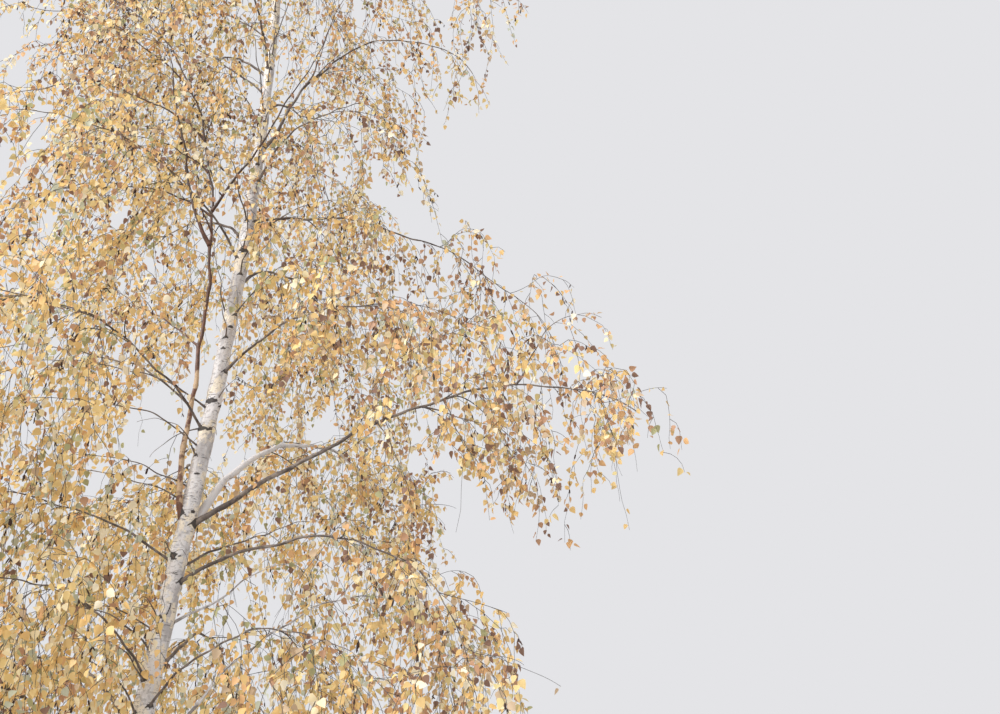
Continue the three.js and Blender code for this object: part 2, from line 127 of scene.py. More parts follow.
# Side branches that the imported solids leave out. Those on a limb start at a part of its length.
OFFSHOOTS = (
    Limb("upper", "stem_fork", 0, 200, 2.46, 75, 75, 0.92, 0, 0.03, 1, "second_stem", 0.433),
    Limb("middle", "stem_left", 0, 165, 1.18, 37, 30, 2.34, 0, 0.016, 1, "second_stem", 0.267),
    Limb("low", "pale_low", 2.8, 35, 1.09, 37, -22, 8.0, 0, 0.022, 1),
    Limb("low", "behind", 3.2, 50, 1.45, 30, 12, 3.0, 0, 0.02, 1),
    Limb("middle", "long_up", 0, 20, 1.11, 73, -10, 2.07, 0, 0.014, 1, "right_long", 0.733),
    Limb("middle", "long_out", 0, -5, 0.78, -13, -25, 1, 0, 0.012, 1, "right_long", 0.533),
    Limb("middle", "long_down", 0, -40, 0.7, -62, -62, 1, 0, 0.01, 1, "right_long", 0.583),
    Limb("middle", "long_hang", 0, -40, 0.52, -54, -63, 1, 0, 0.01, 1, "right_long", 0.433),
    Limb("middle", "collar_up", 4.4, 330, 0.33, 88, 1, 1.3, 0, 0.012, 1),
    Limb("middle", "knee_left", 4.2, 215, 0.49, 48, -64, 0.35, 0, 0.012, 1),
    Limb("middle", "knee_right", 4.2, 300, 0.35, 30, -60, 0.52, 0, 0.01, 1),
    Limb("upper", "trunk_thin", 5.1, 165, 0.85, 43, 79, 0.23, 0, 0.016, 1),
    Limb("high", "high_fork", 0, -5, 1.01, 88, 68, 1.3, 0, 0.016, 1, "high_right", 0.3),
    Limb("high", "high_side", 0, -20, 0.48, 74, 8, 1, 0, 0.012, 1, "high_right", 0.35),
    Limb("high", "top_arch", 8.1, 175, 0.53, 69, -35, 0.75, 0, 0.012, 1),
    Limb("middle", "before_knee", 3.95, 252, 0.8, 46, -40, 1, 0, 0.012, 1),
    Limb("middle", "before_collar", 4.9, 276, 0.75, 50, -45, 1, 0, 0.012, 1),
    Limb("upper", "before_middle", 5.45, 300, 1.0, 50, -50, 1, 0, 0.014, 1),
    Limb("upper", "before_upper", 5.95, 268, 1.15, 54, -50, 1, 0, 0.014, 1),
    Limb("upper", "before_high", 6.5, 292, 1.15, 54, -50, 1, 0, 0.014, 1),
    Limb("high", "before_top", 7.05, 276, 1.1, 56, -50, 1, 0, 0.014, 1),
    Limb("high", "before_leader", 7.7, 300, 1.1, 56, -50, 1, 0, 0.013, 1),
    Limb("high", "beside_leader", 8.2, 280, 1.1, 56, -50, 1, 0, 0.012, 1),
    Limb("low", "before_foot", 2.7, 275, 0.9, 50, -45, 1, 0, 0.013, 1),
    Limb("low", "before_seam", 3.2, 268, 0.6, 50, -45, 1, 0, 0.011, 1),
    Limb("middle", "left_thin", 4.35, 198, 1.9, 36, -42, 1, 0, 0.014, 1),
    Limb("middle", "left_thinner", 4.05, 214, 1.7, 34, -46, 1, 0, 0.013, 1),
    Limb("middle", "left_hang", 0, 205, 1.2, 0, -72, 1, 0, 0.01, 1, "front_left", 0.6),
    Limb("upper", "before_second", 5.7, 284, 0.9, 54, -50, 1, 0, 0.012, 1),
    Limb("upper", "before_third", 6.25, 308, 0.9, 54, -50, 1, 0, 0.012, 1),
    Limb("high", "before_fourth", 6.8, 262, 0.95, 54, -50, 1, 0, 0.012, 1),
    Limb("high", "before_fifth", 7.4, 288, 0.95, 56, -50, 1, 0, 0.012, 1),
    Limb("upper", "right_thin", 5.1, 318, 1.3, 44, -44, 1, 0, 0.013, 1),
    Limb("upper", "right_thinner", 5.8, 340, 1.3, 48, -46, 1, 0, 0.013, 1),
    Limb("low", "foot_left", 2.6, 222, 1.2, 50, -48, 1, 0, 0.014, 1),
    Limb("low", "foot_low", 2.2, 240, 1.3, 54, -40, 1, 0, 0.014, 1),
    Limb("middle", "left_fill", 0, 215, 1.1, 30, -50, 1, 0, 0.01, 1, "front_left", 0.4),
    Limb("middle", "left_out", 0, 200, 1.1, 20, -55, 1, 0, 0.01, 1, "left", 0.45),
    Limb("low", "foot_fill", 0, 262, 1.0, 24, -55, 1, 0, 0.01, 1, "low_front_left", 0.3),
    Limb("low", "foot_out", 0, 235, 1.0, 30, -55, 1, 0, 0.012, 1, "low_left", 0.35),
    Limb("low", "foot_back", 0, 215, 1.0, 35, -50, 1, 0, 0.012, 1, "low_left", 0.5),
    Limb("crest", "crest_out", 0, 195, 1.5, 10, -60, 1, 0, 0.012, 1, "crest_left", 0.6),
    Limb("crest", "crest_side", 0, 215, 1.2, 20, -60, 1, 0, 0.01, 1, "crest_left", 0.45),
    Limb("upper", "stem_side", 0, 195, 1.4, 50, -60, 1, 0, 0.014, 1, "second_stem", 0.56),
    Limb("upper", "stem_over", 0, 250, 1.2, 50, -55, 1, 0, 0.012, 1, "second_stem", 0.45),
    Limb("crest", "crest_hang", 0, 330, 1.2, 30, -60, 1, 0, 0.01, 1, "crest_right", 0.6),
    Limb("upper", "stem_low_far", 0, 186, 1.9, 38, -52, 1, 0, 0.016, 1, "second_stem", 0.48),
    Limb("high", "stem_far", 0, 190, 2.1, 52, -50, 1, 0, 0.018, 1, "second_stem", 0.62),
    Limb("high", "stem_farther", 0, 206, 1.9, 60, -45, 1, 0, 0.016, 1, "second_stem", 0.72),
    Limb("high", "stem_right", 0, -30, 2.2, 48, 72, 2, 0, 0.022, 1, "second_stem", 0.49),
    Limb("middle", "left_low", 3.75, 200, 1.4, 34, -40, 1, 0, 0.012, 1),
    Limb("middle", "left_lower", 3.62, 188, 1.6, 38, -40, 1, 0, 0.012, 1),
    Limb("low", "foot_side", 2.75, 205, 1.0, 44, -50, 1, 0, 0.012, 1),
    Limb("low", "foot_near", 2.4, 250, 1.1, 54, -45, 1, 0, 0.012, 1),
    Limb("high", "top_left", 7.3, 185, 2.5, 52, -40, 1, 0, 0.016, 1),
    Limb("high", "top_far", 7.9, 172, 2.5, 50, -45, 1, 0, 0.014, 1),
)
ALL_LIMBS = {limb.name: limb for limb in (STEM,) + BOUGHS + OFFSHOOTS}
PALE_BOUGHS = {"back_right": 0.85, "low_back_right": 0.66, "pale_low": 0.66}  # how pale they are
LEADER = (9.2, 11.72)  # heights between which the trunk itself bears foliage
BARE_OVERLAP = 0.05  # how far back from its foliage a limb bears its first branches

# The camera, where the photographer stood
EYE = np.array([2.38, -6.5, 1.6])
EYE_PITCH = 26
LENS_MM = 35
SENSOR_MM = 36

# Places where the sky shows between the branches, and part of the leaves left there. They are
# measured as the camera sees them, on the upright plane through the trunk.
Opening = namedtuple("Opening", "x z half_width half_height cover")
OPENINGS = (
    Opening(-0.13, 4.25, 0.18, 0.3, 0.15),
    Opening(2.14, 3.6, 0.14, 0.27, 0.12),
    Opening(3.38, 3.62, 0.31, 0.46, 0.2),
    Opening(0.69, 2.95, 0.24, 0.25, 0.35),
    Opening(3.1, 2.5, 0.6, 0.55, 0.2),
    Opening(-0.9, 4.85, 0.6, 0.4, 0.75),
    Opening(-0.1, 5.7, 0.5, 0.45, 0.76),
    Opening(0.9, 6.7, 0.35, 0.45, 0.76),
    Opening(1.1, 3.1, 0.45, 0.7, 0.76),
    Opening(-0.77, 3.3, 0.32, 0.35, 0.72),
    Opening(0.75, 7.9, 0.6, 0.7, 0.6),
)
TRUNK_CLEAR = 0.15  # half the width kept open before the trunk
TRUNK_OFFSET = -0.05  # its middle, beside the trunk's, so that the second stem shows too
# These show between the leaves too
CLEAR_LIMBS = ("second_stem", "stem_fork", "stem_right", "right_long")
LIMB_CLEAR = 0.055  # half the width kept open before each of them
LIMB_COVER = 0.5  # part of the leaves left there
CLEAR_HEIGHTS = (2.3, 2.8, 3.05, 4.8, 5.3, 6.0)
CLEAR_COVER = (0.95, 0.8, 0.45, 0.4, 0.6, 0.85)  # part of the leaves left at each of these heights

# Autumn tints, each with its part of the sprays at the crown's foot and at its top. The side to
# the right takes darker, browner tints: partly leaves further on in autumn, partly painted shade
# that darkens that side, which the lamps light more. Its parts change the same way, and beyond
# those at the top.
Tint = namedtuple("Tint", "name label hex low high")
TINTS = (
    Tint("gold", "Deep gold", "#EDC886", 0.18, 0.17),
    Tint("amber", "Amber", "#F2D696", 0.19, 0.12),
    Tint("ochre", "Ochre", "#E0C084", 0.12, 0.12),
    Tint("orange", "Orange tan", "#E5B884", 0.07, 0.12),
    # pale: partly pale yellow autumn leaves, partly painted light for leaves lit through from behind;
    # cream: partly autumn leaves, partly painted highlight
    Tint("pale", "Pale yellow", "#F8E9C0", 0.15, 0.11),
    Tint("cream", "Cream", "#F7ECD0", 0.08, 0.08),
    Tint("mustard", "Mustard", "#DCCA90", 0.07, 0.09),
    Tint("olive", "Olive", "#B2B084", 0.06, 0.035),
    Tint("sage", "Grey green", "#C8CCB7", 0.05, 0.03),
    Tint("tan", "Dull tan", "#CBB293", 0.02, 0.1),
    Tint("russet", "Russet", "#C19777", 0.04, 0.08),
    Tint("brown", "Withered brown", "#8F705F", 0.02, 0.085),
)


def linear(code):
    """The linear colour of an sRGB hex value."""
    parts = [int(code[i:i + 2], 16) / 255 for i in (1, 3, 5)]
    return [c / 12.92 if c <= 0.04045 else ((c + 0.055) / 1.055) ** 2.4 for c in parts]


def colour(name, description, code):
    """A property for a colour."""
    return FloatVectorProperty(name=name, description=description, subtype="COLOR", size=3,
                               min=0, max=1, default=linear(code))


def length(name, description, metres):
    """A property for a length."""
    return FloatProperty(name=name, description=description, default=metres, min=0.0001,
                         unit="LENGTH", precision=4)


class BirchSizes(PropertyGroup):
    """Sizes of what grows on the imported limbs."""
    leaf_length: length("Leaf length", "Length of a full-grown leaf's blade", 0.049)
    leaf_width: length("Leaf width", "Width of its blade", 0.042)
    leaf_stalk: length("Leaf stalk", "Length of its stalk", 0.022)
    leaf_spacing: length("Leaf spacing", "Distance between leaves along a twig", 0.037)
    twig_length: length("Twig length", "Length of a usual hanging twig", 0.62)
    twig_spacing: length("Twig spacing", "Distance between hanging twigs along a branch", 0.098)
    twig_width: length("Twig thickness", "Thickness of a hanging twig where it starts", 0.0042)
    side_length: length("Side twig length", "Length of a usual side twig of a hanging twig", 0.18)
    side_spacing: length("Side twig spacing", "Distance between side twigs", 0.2)
    catkin_length: length("Catkin length", "Length of a dry catkin", 0.038)
    bark_relief: length("Bark relief", "Height of the swellings of the trunk's bark", 0.004)
    crowding: FloatProperty(name="Branches", description="Branches in a cubic metre of foliage",
                            default=5.0, min=0.5, max=20)
    seed: IntProperty(name="Seed", description="Seed of everything that is random", default=7)


class BirchColours(PropertyGroup):
    """Colours of bark, twigs and catkins. The leaves' tints are added below."""
    bark_white: colour("White bark", "Outer papery bark of the trunk", "#DBD9DA")
    bark_grey: colour("Grey bark", "Older, weathered bark of the trunk", "#A09C9D")
    bark_cream: colour("Cream bark", "Fresh layer where the outer bark has peeled", "#EADFCB")
    bark_black: colour("Scars", "Branch collars, scars and pores", "#2E2826")
    stem_brown: colour("Brown bark", "Young bark of the second stem", "#6E4A3A")
    stem_gold: colour("Golden bark", "Peeling patches of the second stem", "#C9AD8B")
    bough_dark: colour("Bough bark", "Bark of the boughs", "#584E4A")
    bough_pale: colour("Pale bough bark", "Pores and worn places of the boughs", "#A3978C")
    twig: colour("Twigs", "Bark of the hanging twigs", "#3C3634")
    catkin: colour("Catkins", "Dry catkins", "#3D2A24")


for tint in TINTS:
    BirchColours.__annotations__[f"leaf_{tint.name}"] = colour(
        f"{tint.label} leaves", "Tint of a share of the leaf sprays", tint.hex)


# Skeleton

def smooth(t):
    """A soft step: 0 up to t = 0, and 1 from t = 1."""
    c = np.clip(t, 0, 1)
    return c * c * (3 - 2 * c)


def ramp(values, start, full):
    """0 at start, 1 at full and smooth between them. full may be the lower one."""
    return smooth((values - start) / (full - start))


def unit(vectors):
    """Vectors of length 1 in these directions."""
    return vectors / np.maximum(np.linalg.norm(vectors, axis=-1, keepdims=True), 1e-9)


def trunk_axis(z):
    """The trunk's middle at these heights."""
    z = np.asarray(z, float)
    climbed = np.minimum(1, z / SWEEP_TOP)
    back = SWEEP_BACK * ramp(z, SWEEP_TOP, HEIGHT)
    out = SWEEP * smooth(climbed) + SWEEP_BELLY * np.sin(math.pi * climbed) - back
    return np.stack([out, BOW * np.sin(math.pi * z / HEIGHT), z], -1)


def trunk_radius(z, angle=0.0):
    """The trunk's radius at these heights. The angle round it tells in the lobes of its foot."""
    left = np.maximum(0, 1 - z / HEIGHT)
    lobes = 1 + FLARE_LOBE_DEPTH * np.cos(FLARE_LOBES * angle)
    flare = FLARE_WIDTH * np.exp(-z / FLARE_HEIGHT)
    return (TRUNK_WIDTH * left ** TRUNK_TAPER + flare * lobes + TIP_WIDTH) / 2


def limb_way(limb, s):
    """The limb's direction at the part s of its length."""
    arc = limb.rise + (limb.fall - limb.rise) * s ** limb.bend
    fork = min(0, FORK_ANGLE - limb.rise) * np.exp(-s * limb.length / FORK_LENGTH)
    climb = np.radians(arc + fork)
    bearing = np.radians(limb.bearing + limb.swing * s)
    level = np.cos(climb)
    return np.stack([np.cos(bearing) * level, np.sin(bearing) * level, np.sin(climb)], -1)


def wander(limb, at):
    """How far a limb strays from its smooth arc at these parts of its length, in metres. Its name
    and bearing make its seed."""
    rng = np.random.default_rng(len(limb.name) * 100 + int(limb.bearing) % 360)
    run = at[:, None] * limb.length
    stray = np.zeros((len(at), 3))
    for wave in WANDER_WAVES:
        turn = rng.uniform(0, 2 * math.pi, 3)
        stray += wave * WANDER * (np.sin(2 * math.pi * run / wave + turn) - np.sin(turn))
    return stray * np.minimum(1, at[:, None] / WANDER_START)


def limb_path(limb):
    """Points at equal parts of a limb's length, from its start on the axis of its parent."""
    if limb.at:
        start = limb_points(ALL_LIMBS[limb.on], limb.at)
    elif limb.on:
        parent = limb_path(ALL_LIMBS[limb.on])
        start = np.array([np.interp(limb.height, parent[:, 2], parent[:, k]) for k in range(3)])
    else:
        start = trunk_axis(limb.height)
    mids = (np.arange(PATH_STEPS) + 0.5) / PATH_STEPS
    steps = limb_way(limb, mids) * limb.length / PATH_STEPS
    path = start + np.vstack([np.zeros(3), np.cumsum(steps, axis=0)])
    return path + wander(limb, np.linspace(0, 1, PATH_STEPS + 1))


def limb_points(limb, s):
    """The limb's middle at the parts s of its length."""
    path = limb_path(limb)
    at = np.clip(s, 0, 1) * PATH_STEPS
    return np.stack([np.interp(at, np.arange(PATH_STEPS + 1), path[:, k]) for k in range(3)], -1)


def limb_radius(limb, s):
    """Its radius there."""
    collar = 1 + COLLAR * np.exp(-s * limb.length / COLLAR_LENGTH)
    return limb.width / 2 * (LIMB_TIP + (1 - LIMB_TIP) * (1 - s) ** LIMB_TAPER) * collar


def side_ways(points):
    """Two directions square to a line of points, which don't twist along it."""
    ways = unit(np.gradient(points, axis=0))
    side = np.cross(ways[0], UP if abs(ways[0][2]) < STEEP else [1.0, 0.0, 0.0])
    sides = []
    for way in ways:
        side = unit(side - way * side.dot(way))
        sides.append(side)
    return np.array(sides), np.cross(ways, sides)


# Noise of waves: how many, their shortest and longest length in metres, and their height
Waves = namedtuple("Waves", "count shortest longest height", defaults=(1.0,))


def swells(points, seed, waves):
    """Smooth seeded noise at points, from about -1 to 1 times the waves' height."""
    rng = np.random.default_rng(seed)
    ways = unit(rng.normal(size=(waves.count, 3))) * 2 * math.pi
    rates = ways / rng.uniform(waves.shortest, waves.longest, (waves.count, 1))
    shifts = rng.uniform(0, 2 * math.pi, waves.count)
    return waves.height * np.sin(points @ rates.T + shifts).sum(axis=-1) / math.sqrt(waves.count)


def run_along(points):
    """How far along a line of points each of them lies."""
    return np.concatenate([[0], np.cumsum(np.linalg.norm(np.diff(points, axis=0), axis=1))])


# Nodes and pieces

def add(tree, kind, settings=None, inputs=None):
    """Adds a node. Settings are its own values; inputs are values or other nodes' sockets."""
    node = tree.nodes.new(kind)
    for key, value in (settings or {}).items():
        setattr(node, key, value)
    for key, value in (inputs or {}).items():
        if isinstance(value, bpy.types.NodeSocket):
            tree.links.new(value, node.inputs[key])
        else:
            node.inputs[key].default_value = value
    return node


def piece(name, mesh, nodes):
    """Adds a finished piece of the tree, in place of these CAD nodes."""
    made = bpy.data.objects.new(name, mesh)
    bpy.context.scene.collection.objects.link(made)
    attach(made, "root")
    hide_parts(*nodes)


def mesh_of(name, points, edges=(), faces=()):
    """A mesh of these points, edges and faces."""
    mesh = bpy.data.meshes.new(name)
    mesh.from_pydata(points, edges, faces)
    return mesh


def give_points(mesh, name, values):
    """Gives each point of a mesh a number, or a vector where values has rows."""
    kind, key = ("FLOAT_VECTOR", "vector") if values.ndim > 1 else ("FLOAT", "value")
    attribute = mesh.attributes.new(name, kind, "POINT")
    attribute.data.foreach_set(key, values.astype(np.float32).ravel())


def empty_material(name):
    """A new material without nodes, and its tree."""
    material = bpy.data.materials.new(name)
    material.use_nodes = True
    material.node_tree.nodes.clear()
    return material, material.node_tree


# Bark

# A tube of bark: rings of points from its foot to its tip, how far along it each ring lies, its
# radius for the bark's pattern, and marks: numbers for every point
BarkPart = namedtuple("BarkPart", "rings along girth marks")
MAP_MARGIN = 0.04  # part of a strip left free at its edges
MAP_FILL = 0.96  # part of the map's height that the strips fill


def strip_map(part, run, total, strips):
    """Map places for the faces of a part and then of its two ends. The parts lie end to end on
    upright strips side by side: run is how far up them this one starts."""
    count, sides = part.rings.shape[:2]
    corner = np.array([[0, 0], [1, 0], [1, 1], [0, 1]])
    up = (run + part.along - part.along[0]) / total * strips
    strip = np.minimum(np.floor(up[:-1]), strips - 1)
    round_part = (np.arange(sides)[None, :, None] + corner[:, 0]) / sides
    spread = np.empty((count - 1, sides, 4, 2))
    spread[..., 0] = (strip[:, None, None] + MAP_MARGIN + (1 - 2 * MAP_MARGIN) * round_part) / strips
    spread[..., 1] = np.where(corner[:, 1], (up[1:] - strip)[:, None, None],
                              (up[:-1] - strip)[:, None, None]) * MAP_FILL
    cap = np.array([[0, 0], [1, 0], [0.5, 1]]) * MAP_MARGIN / 2 / strips
    return [spread.reshape(-1, 2), np.tile(cap, (2 * sides, 1))]


def bark_mesh(name, parts, material):
    """Closed tubes of bark as one mesh, with the bark's pattern and marks on its points."""
    points, grain, faces, maps = [], [], [], []
    marks = {key: [] for key in parts[0].marks}
    total = sum(np.ptp(part.along) for part in parts)
    girth = np.mean([part.girth for part in parts]) * 2 * math.pi
    strips = max(2, round(math.sqrt(total / girth)))
    first, run = 0, 0.0
    for part in parts:
        count, sides = part.rings.shape[:2]
        k = np.arange(sides)
        after = (k + 1) % sides
        angle = k / sides * 2 * math.pi
        body = np.empty((count, sides, 3))
        body[..., 0] = part.girth * np.cos(angle)
        body[..., 1] = part.girth * np.sin(angle)
        body[..., 2] = part.along[:, None]
        points += [part.rings.reshape(-1, 3), part.rings[[0, -1]].mean(axis=1)]
        grain += [body.reshape(-1, 3), body[[0, -1]].mean(axis=1)]
        for key, values in part.marks.items():
            marks[key] += [values.ravel(), values[[0, -1]].mean(axis=1)]
        start = first + np.arange(count - 1)[:, None] * sides
        quads = [start + k, start + after, start + sides + after, start + sides + k]
        faces += np.stack(quads, -1).reshape(-1, 4).tolist()
        foot, top = first + count * sides, first + (count - 1) * sides
        faces += [[foot, first + b, first + a] for a, b in zip(k, after)]
        faces += [[foot + 1, top + a, top + b] for a, b in zip(k, after)]
        maps += strip_map(part, run, total, strips)
        first = foot + 2
        run += np.ptp(part.along)
    mesh = mesh_of(name, np.concatenate(points).tolist(), faces=faces)
    unwrapped = np.concatenate(maps).astype(np.float32)
    mesh.uv_layers.new(name="OFBake").uv.foreach_set("vector", unwrapped.ravel())
    give_points(mesh, "grain", np.concatenate(grain))
    for key, values in marks.items():
        give_points(mesh, key, np.concatenate(values))
    mesh.shade_smooth()
    mesh.materials.append(material)
    return mesh


# A layer of bark shows where the pattern's value lies over its start. The pattern repeats so many
# times a metre round and along the stem; a mark, where there is one, is added to the pattern.
Layer = namedtuple("Layer", "colour round_rate along_rate start full strength relief mark",
                   defaults=(0.0, ""))
MIX_A, MIX_B, MIX_RESULT = 6, 7, 2  # sockets of a colour mix
BARK_NOISE = {"Scale": 1, "Detail": 4, "Roughness": 0.6}


def bark_material(name, base, layers, roughness):
    """Bark in layers, each a stretched pattern over the last, with its own relief in metres."""
    colours = bpy.context.scene.birch_colours
    material, tree = empty_material(name)
    grain = add(tree, "ShaderNodeAttribute", {"attribute_name": "grain"}).outputs["Vector"]
    shade = (*getattr(colours, base), 1)
    normal = None
    for layer in layers:
        stretch = (layer.round_rate, layer.round_rate, layer.along_rate)
        at = add(tree, "ShaderNodeVectorMath", {"operation": "MULTIPLY"}, {0: grain, 1: stretch})
        value = add(tree, "ShaderNodeTexNoise", None,
                    {"Vector": at.outputs[0], **BARK_NOISE}).outputs[0]
        if layer.mark:
            mark = add(tree, "ShaderNodeAttribute", {"attribute_name": layer.mark})
            value = add(tree, "ShaderNodeMath", {"operation": "ADD"},
                        {0: value, 1: mark.outputs["Fac"]}).outputs[0]
        part = add(tree, "ShaderNodeMapRange", {"interpolation_type": "SMOOTHSTEP"},
                   {"Value": value, "From Min": layer.start, "From Max": layer.full,
                    "To Max": layer.strength})
        shade = add(tree, "ShaderNodeMix", {"data_type": "RGBA"},
                    {0: part.outputs[0], MIX_A: shade,
                     MIX_B: (*getattr(colours, layer.colour), 1)}).outputs[MIX_RESULT]
        if layer.relief:
            inputs = {"Height": part.outputs[0], "Distance": abs(layer.relief)}
            if normal:
                inputs["Normal"] = normal
            bump = add(tree, "ShaderNodeBump", {"invert": layer.relief < 0}, inputs)
            normal = bump.outputs[0]
    shader = add(tree, "ShaderNodeBsdfPrincipled", None,
                 {"Base Color": shade, "Roughness": roughness, "Normal": normal})
    add(tree, "ShaderNodeOutputMaterial", None, {"Surface": shader.outputs[0]})
    return material


# A plain finish: roughness, bumps a metre, their height in metres, and the part of the light that
# passes a thin sheet of it
Finish = namedtuple("Finish", "roughness rate relief through", defaults=(0.0,))
LEAF_GLOW = 0.45  # part of the light that passes through a leaf
BRANCH_FINISH = Finish(0.75, 120, 0.0005)
TWIG_FINISH = Finish(0.55, 300, 0.0002)
LEAF_FINISH = Finish(0.55, 160, 0.0004, LEAF_GLOW)
CATKIN_FINISH = Finish(0.85, 500, 0.0008)
FLOOR_FINISH = Finish(0.9, 3, 0.001)


def plain_material(name, colour_value, finish):
    """One plain colour with a fine, even grain."""
    material, tree = empty_material(name)
    place = add(tree, "ShaderNodeTexCoord").outputs["Object"]
    grain = add(tree, "ShaderNodeTexNoise", None, {"Vector": place, "Scale": finish.rate, "Detail": 1})
    bump = add(tree, "ShaderNodeBump", None, {"Height": grain.outputs[0], "Distance": finish.relief})
    shader = add(tree, "ShaderNodeBsdfPrincipled", None,
                 {"Base Color": (*colour_value, 1), "Roughness": finish.roughness,
                  "Normal": bump.outputs[0]})
    if finish.through:
        sheet = add(tree, "ShaderNodeBsdfTranslucent", None, {"Color": (*colour_value, 1)})
        shader = add(tree, "ShaderNodeMixShader", None,
                     {0: finish.through, 1: shader.outputs[0], 2: sheet.outputs[0]})
    add(tree, "ShaderNodeOutputMaterial", None, {"Surface": shader.outputs[0]})
    return material


# Black scars of lost branches: height, bearing and half width. A chevron is a filled roof shape,
# and a knot is a flat eye under a thin fold of bark.
Scar = namedtuple("Scar", "height bearing half_width")
CHEVRONS = (
    Scar(2.88, 258, 0.034), Scar(2.51, 240, 0.032), Scar(5.05, 300, 0.025), Scar(1.35, 300, 0.045),
    Scar(0.95, 215, 0.05), Scar(1.2, 80, 0.045), Scar(1.9, 120, 0.04), Scar(3.0, 60, 0.04),
    Scar(3.95, 150, 0.035), Scar(6.6, 280, 0.025), Scar(3.6, 312, 0.02), Scar(7.6, 300, 0.02),
)
KNOTS = (
    Scar(3.28, 246, 0.03), Scar(4.42, 262, 0.044), Scar(4.2, 240, 0.036), Scar(5.72, 290, 0.036),
    Scar(3.86, 285, 0.014), Scar(2.2, 330, 0.025), Scar(0.7, 20, 0.035), Scar(1.6, 170, 0.03),
    Scar(4.85, 275, 0.014), Scar(6.15, 265, 0.02), Scar(7.0, 310, 0.022),
)
SEAM = Scar(2.86, 288, 0.004)
SEAM_HALF_HEIGHT = 0.11
SEAM_BEND = 0.02  # how far its ends bend round the trunk
SEAM_END = 0.03  # length over which an end fades
SOCKET_SWELLING = 0.45  # where a bough leaves the trunk; parts of the bough's radius
SOCKET_SPREAD = 1.1
SOCKET_DROP = 0.3
SOCKET_DARK = (2.1, 1.1)  # distances from its middle between which the dark ring sets in
FOLD_SLOPE = 0.9  # of the dark fold of bark over a bough
FOLD_THICKNESS = 0.007
FOLD_REACH = (0.02, 2.4)  # half its width: metres, and times the bough's radius
FOLD_END = 0.02
FOLD_DARK = 0.9
CHEVRON_SLOPE = 0.75
CHEVRON_THICKNESS = 0.026
CHEVRON_EDGE = 0.006  # width of its soft edge
CHEVRON_ENDS = (1.1, 0.9)  # parts of its half width between which an end sets in
CHEVRON_RELIEF = 0.003
KNOT_FLATNESS = 1.7  # a knot's width over its height
KNOT_DARK = 1.1
KNOT_EDGE = (1.1, 0.6)  # parts of its half width between which the dark sets in
KNOT_RELIEF = 0.25  # height of its swelling, part of its half width
HOLLOW_DEPTH = 0.7  # of the hollow in it, part of the swelling
HOLLOW_WIDTH = 0.5
LID_SLOPE = 0.45  # of the thin fold over a knot
LID_RISE = 0.4  # part of the knot's half width
LID_THICKNESS = 0.005
LID_DARK = 0.8
LID_ENDS = (2.2, 1.7)
SCAR_MOST = 1.2  # the darkest that scars make the bark where they meet

TRUNK_SIDES = 60
TRUNK_RING = 0.01
FINE_TOP = 6.5  # the rings are wider apart above
COARSE_RING = 0.018
TRUNK_WAVES = (Waves(14, 0.06, 0.35), Waves(18, 0.02, 0.05, 0.35))
RAGGED_WAVES = Waves(16, 0.012, 0.04, 0.25)  # of the knots' outlines
CRACK_WAVES = Waves(16, 0.03, 0.09)
CRACK_STRETCH = (1, 1, 0.25)  # cracks run up the trunk
CRACK_DEPTH = 1.6  # times the bark's relief
CRACK_LEVEL = 0.6  # how much of the crack pattern lies below the surface
OLD_BARK = (0.95, 0.05)  # heights between which the foot's old, cracked bark sets in
THIN_TRUNK = 0.06  # the relief shrinks with the trunk's radius under this one
FOOT_FADE = 0.03  # height over which the relief sets in above the flat cut
EXIT_REACH = 0.2  # part of a bough's length in which it leaves the trunk's surface
EXIT_STEPS = 400


def exits():
    """Where each bough leaves the trunk's surface, as a scar with the bough's radius."""
    found = []
    for limb in (STEM,) + BOUGHS + OFFSHOOTS:
        if limb.on:
            continue
        s = np.linspace(0, EXIT_REACH, EXIT_STEPS)
        points = limb_points(limb, s)
        off = points - trunk_axis(points[:, 2])
        out = np.hypot(off[:, 0], off[:, 1]) > trunk_radius(points[:, 2])
        k = int(np.argmax(out))
        bearing = math.degrees(math.atan2(off[k][1], off[k][0]))
        found.append(Scar(points[k][2], bearing, float(limb_radius(limb, s[k]))))
    return found


def socket_marks(arc, rise, size):
    """Dark and relief where a bough of this radius leaves the trunk, under a fold of bark. arc and
    rise are distances from its middle, round the trunk and up."""
    ring = np.hypot(arc, rise + SOCKET_DROP * size) / size
    reach = FOLD_REACH[0] + FOLD_REACH[1] * size
    fold = np.exp(-((rise + FOLD_SLOPE * np.abs(arc) - size) / FOLD_THICKNESS) ** 2)
    fold *= ramp(np.abs(arc), reach, reach - FOLD_END)
    swelling = np.exp(-(arc ** 2 + rise ** 2) / (2 * (SOCKET_SPREAD * size) ** 2))
    return ramp(ring, *SOCKET_DARK) + FOLD_DARK * fold, SOCKET_SWELLING * size * swelling


def chevron_marks(arc, rise, size):
    """Dark and relief of a filled roof shape of this half width."""
    side = np.abs(arc) / size
    under = -rise - CHEVRON_SLOPE * np.abs(arc)
    over = CHEVRON_THICKNESS * (1 - side) - under
    shape = smooth(under / CHEVRON_EDGE + 0.5) * smooth(over / CHEVRON_EDGE + 0.5)
    shape *= ramp(side, *CHEVRON_ENDS)
    return shape, CHEVRON_RELIEF * shape


def knot_marks(arc, rise, size, ragged):
    """Dark and relief of a ragged eye of this half width, under a thin fold of bark."""
    ring = ragged * np.hypot(arc, KNOT_FLATNESS * rise) / size
    lid = np.exp(-((rise + LID_SLOPE * np.abs(arc) - LID_RISE * size) / LID_THICKNESS) ** 2)
    dark = KNOT_DARK * ramp(ring, *KNOT_EDGE) + LID_DARK * lid * ramp(ring, *LID_ENDS)
    swelling = np.exp(-ring ** 2) - HOLLOW_DEPTH * np.exp(-(ring / HOLLOW_WIDTH) ** 2)
    return dark, KNOT_RELIEF * size * swelling


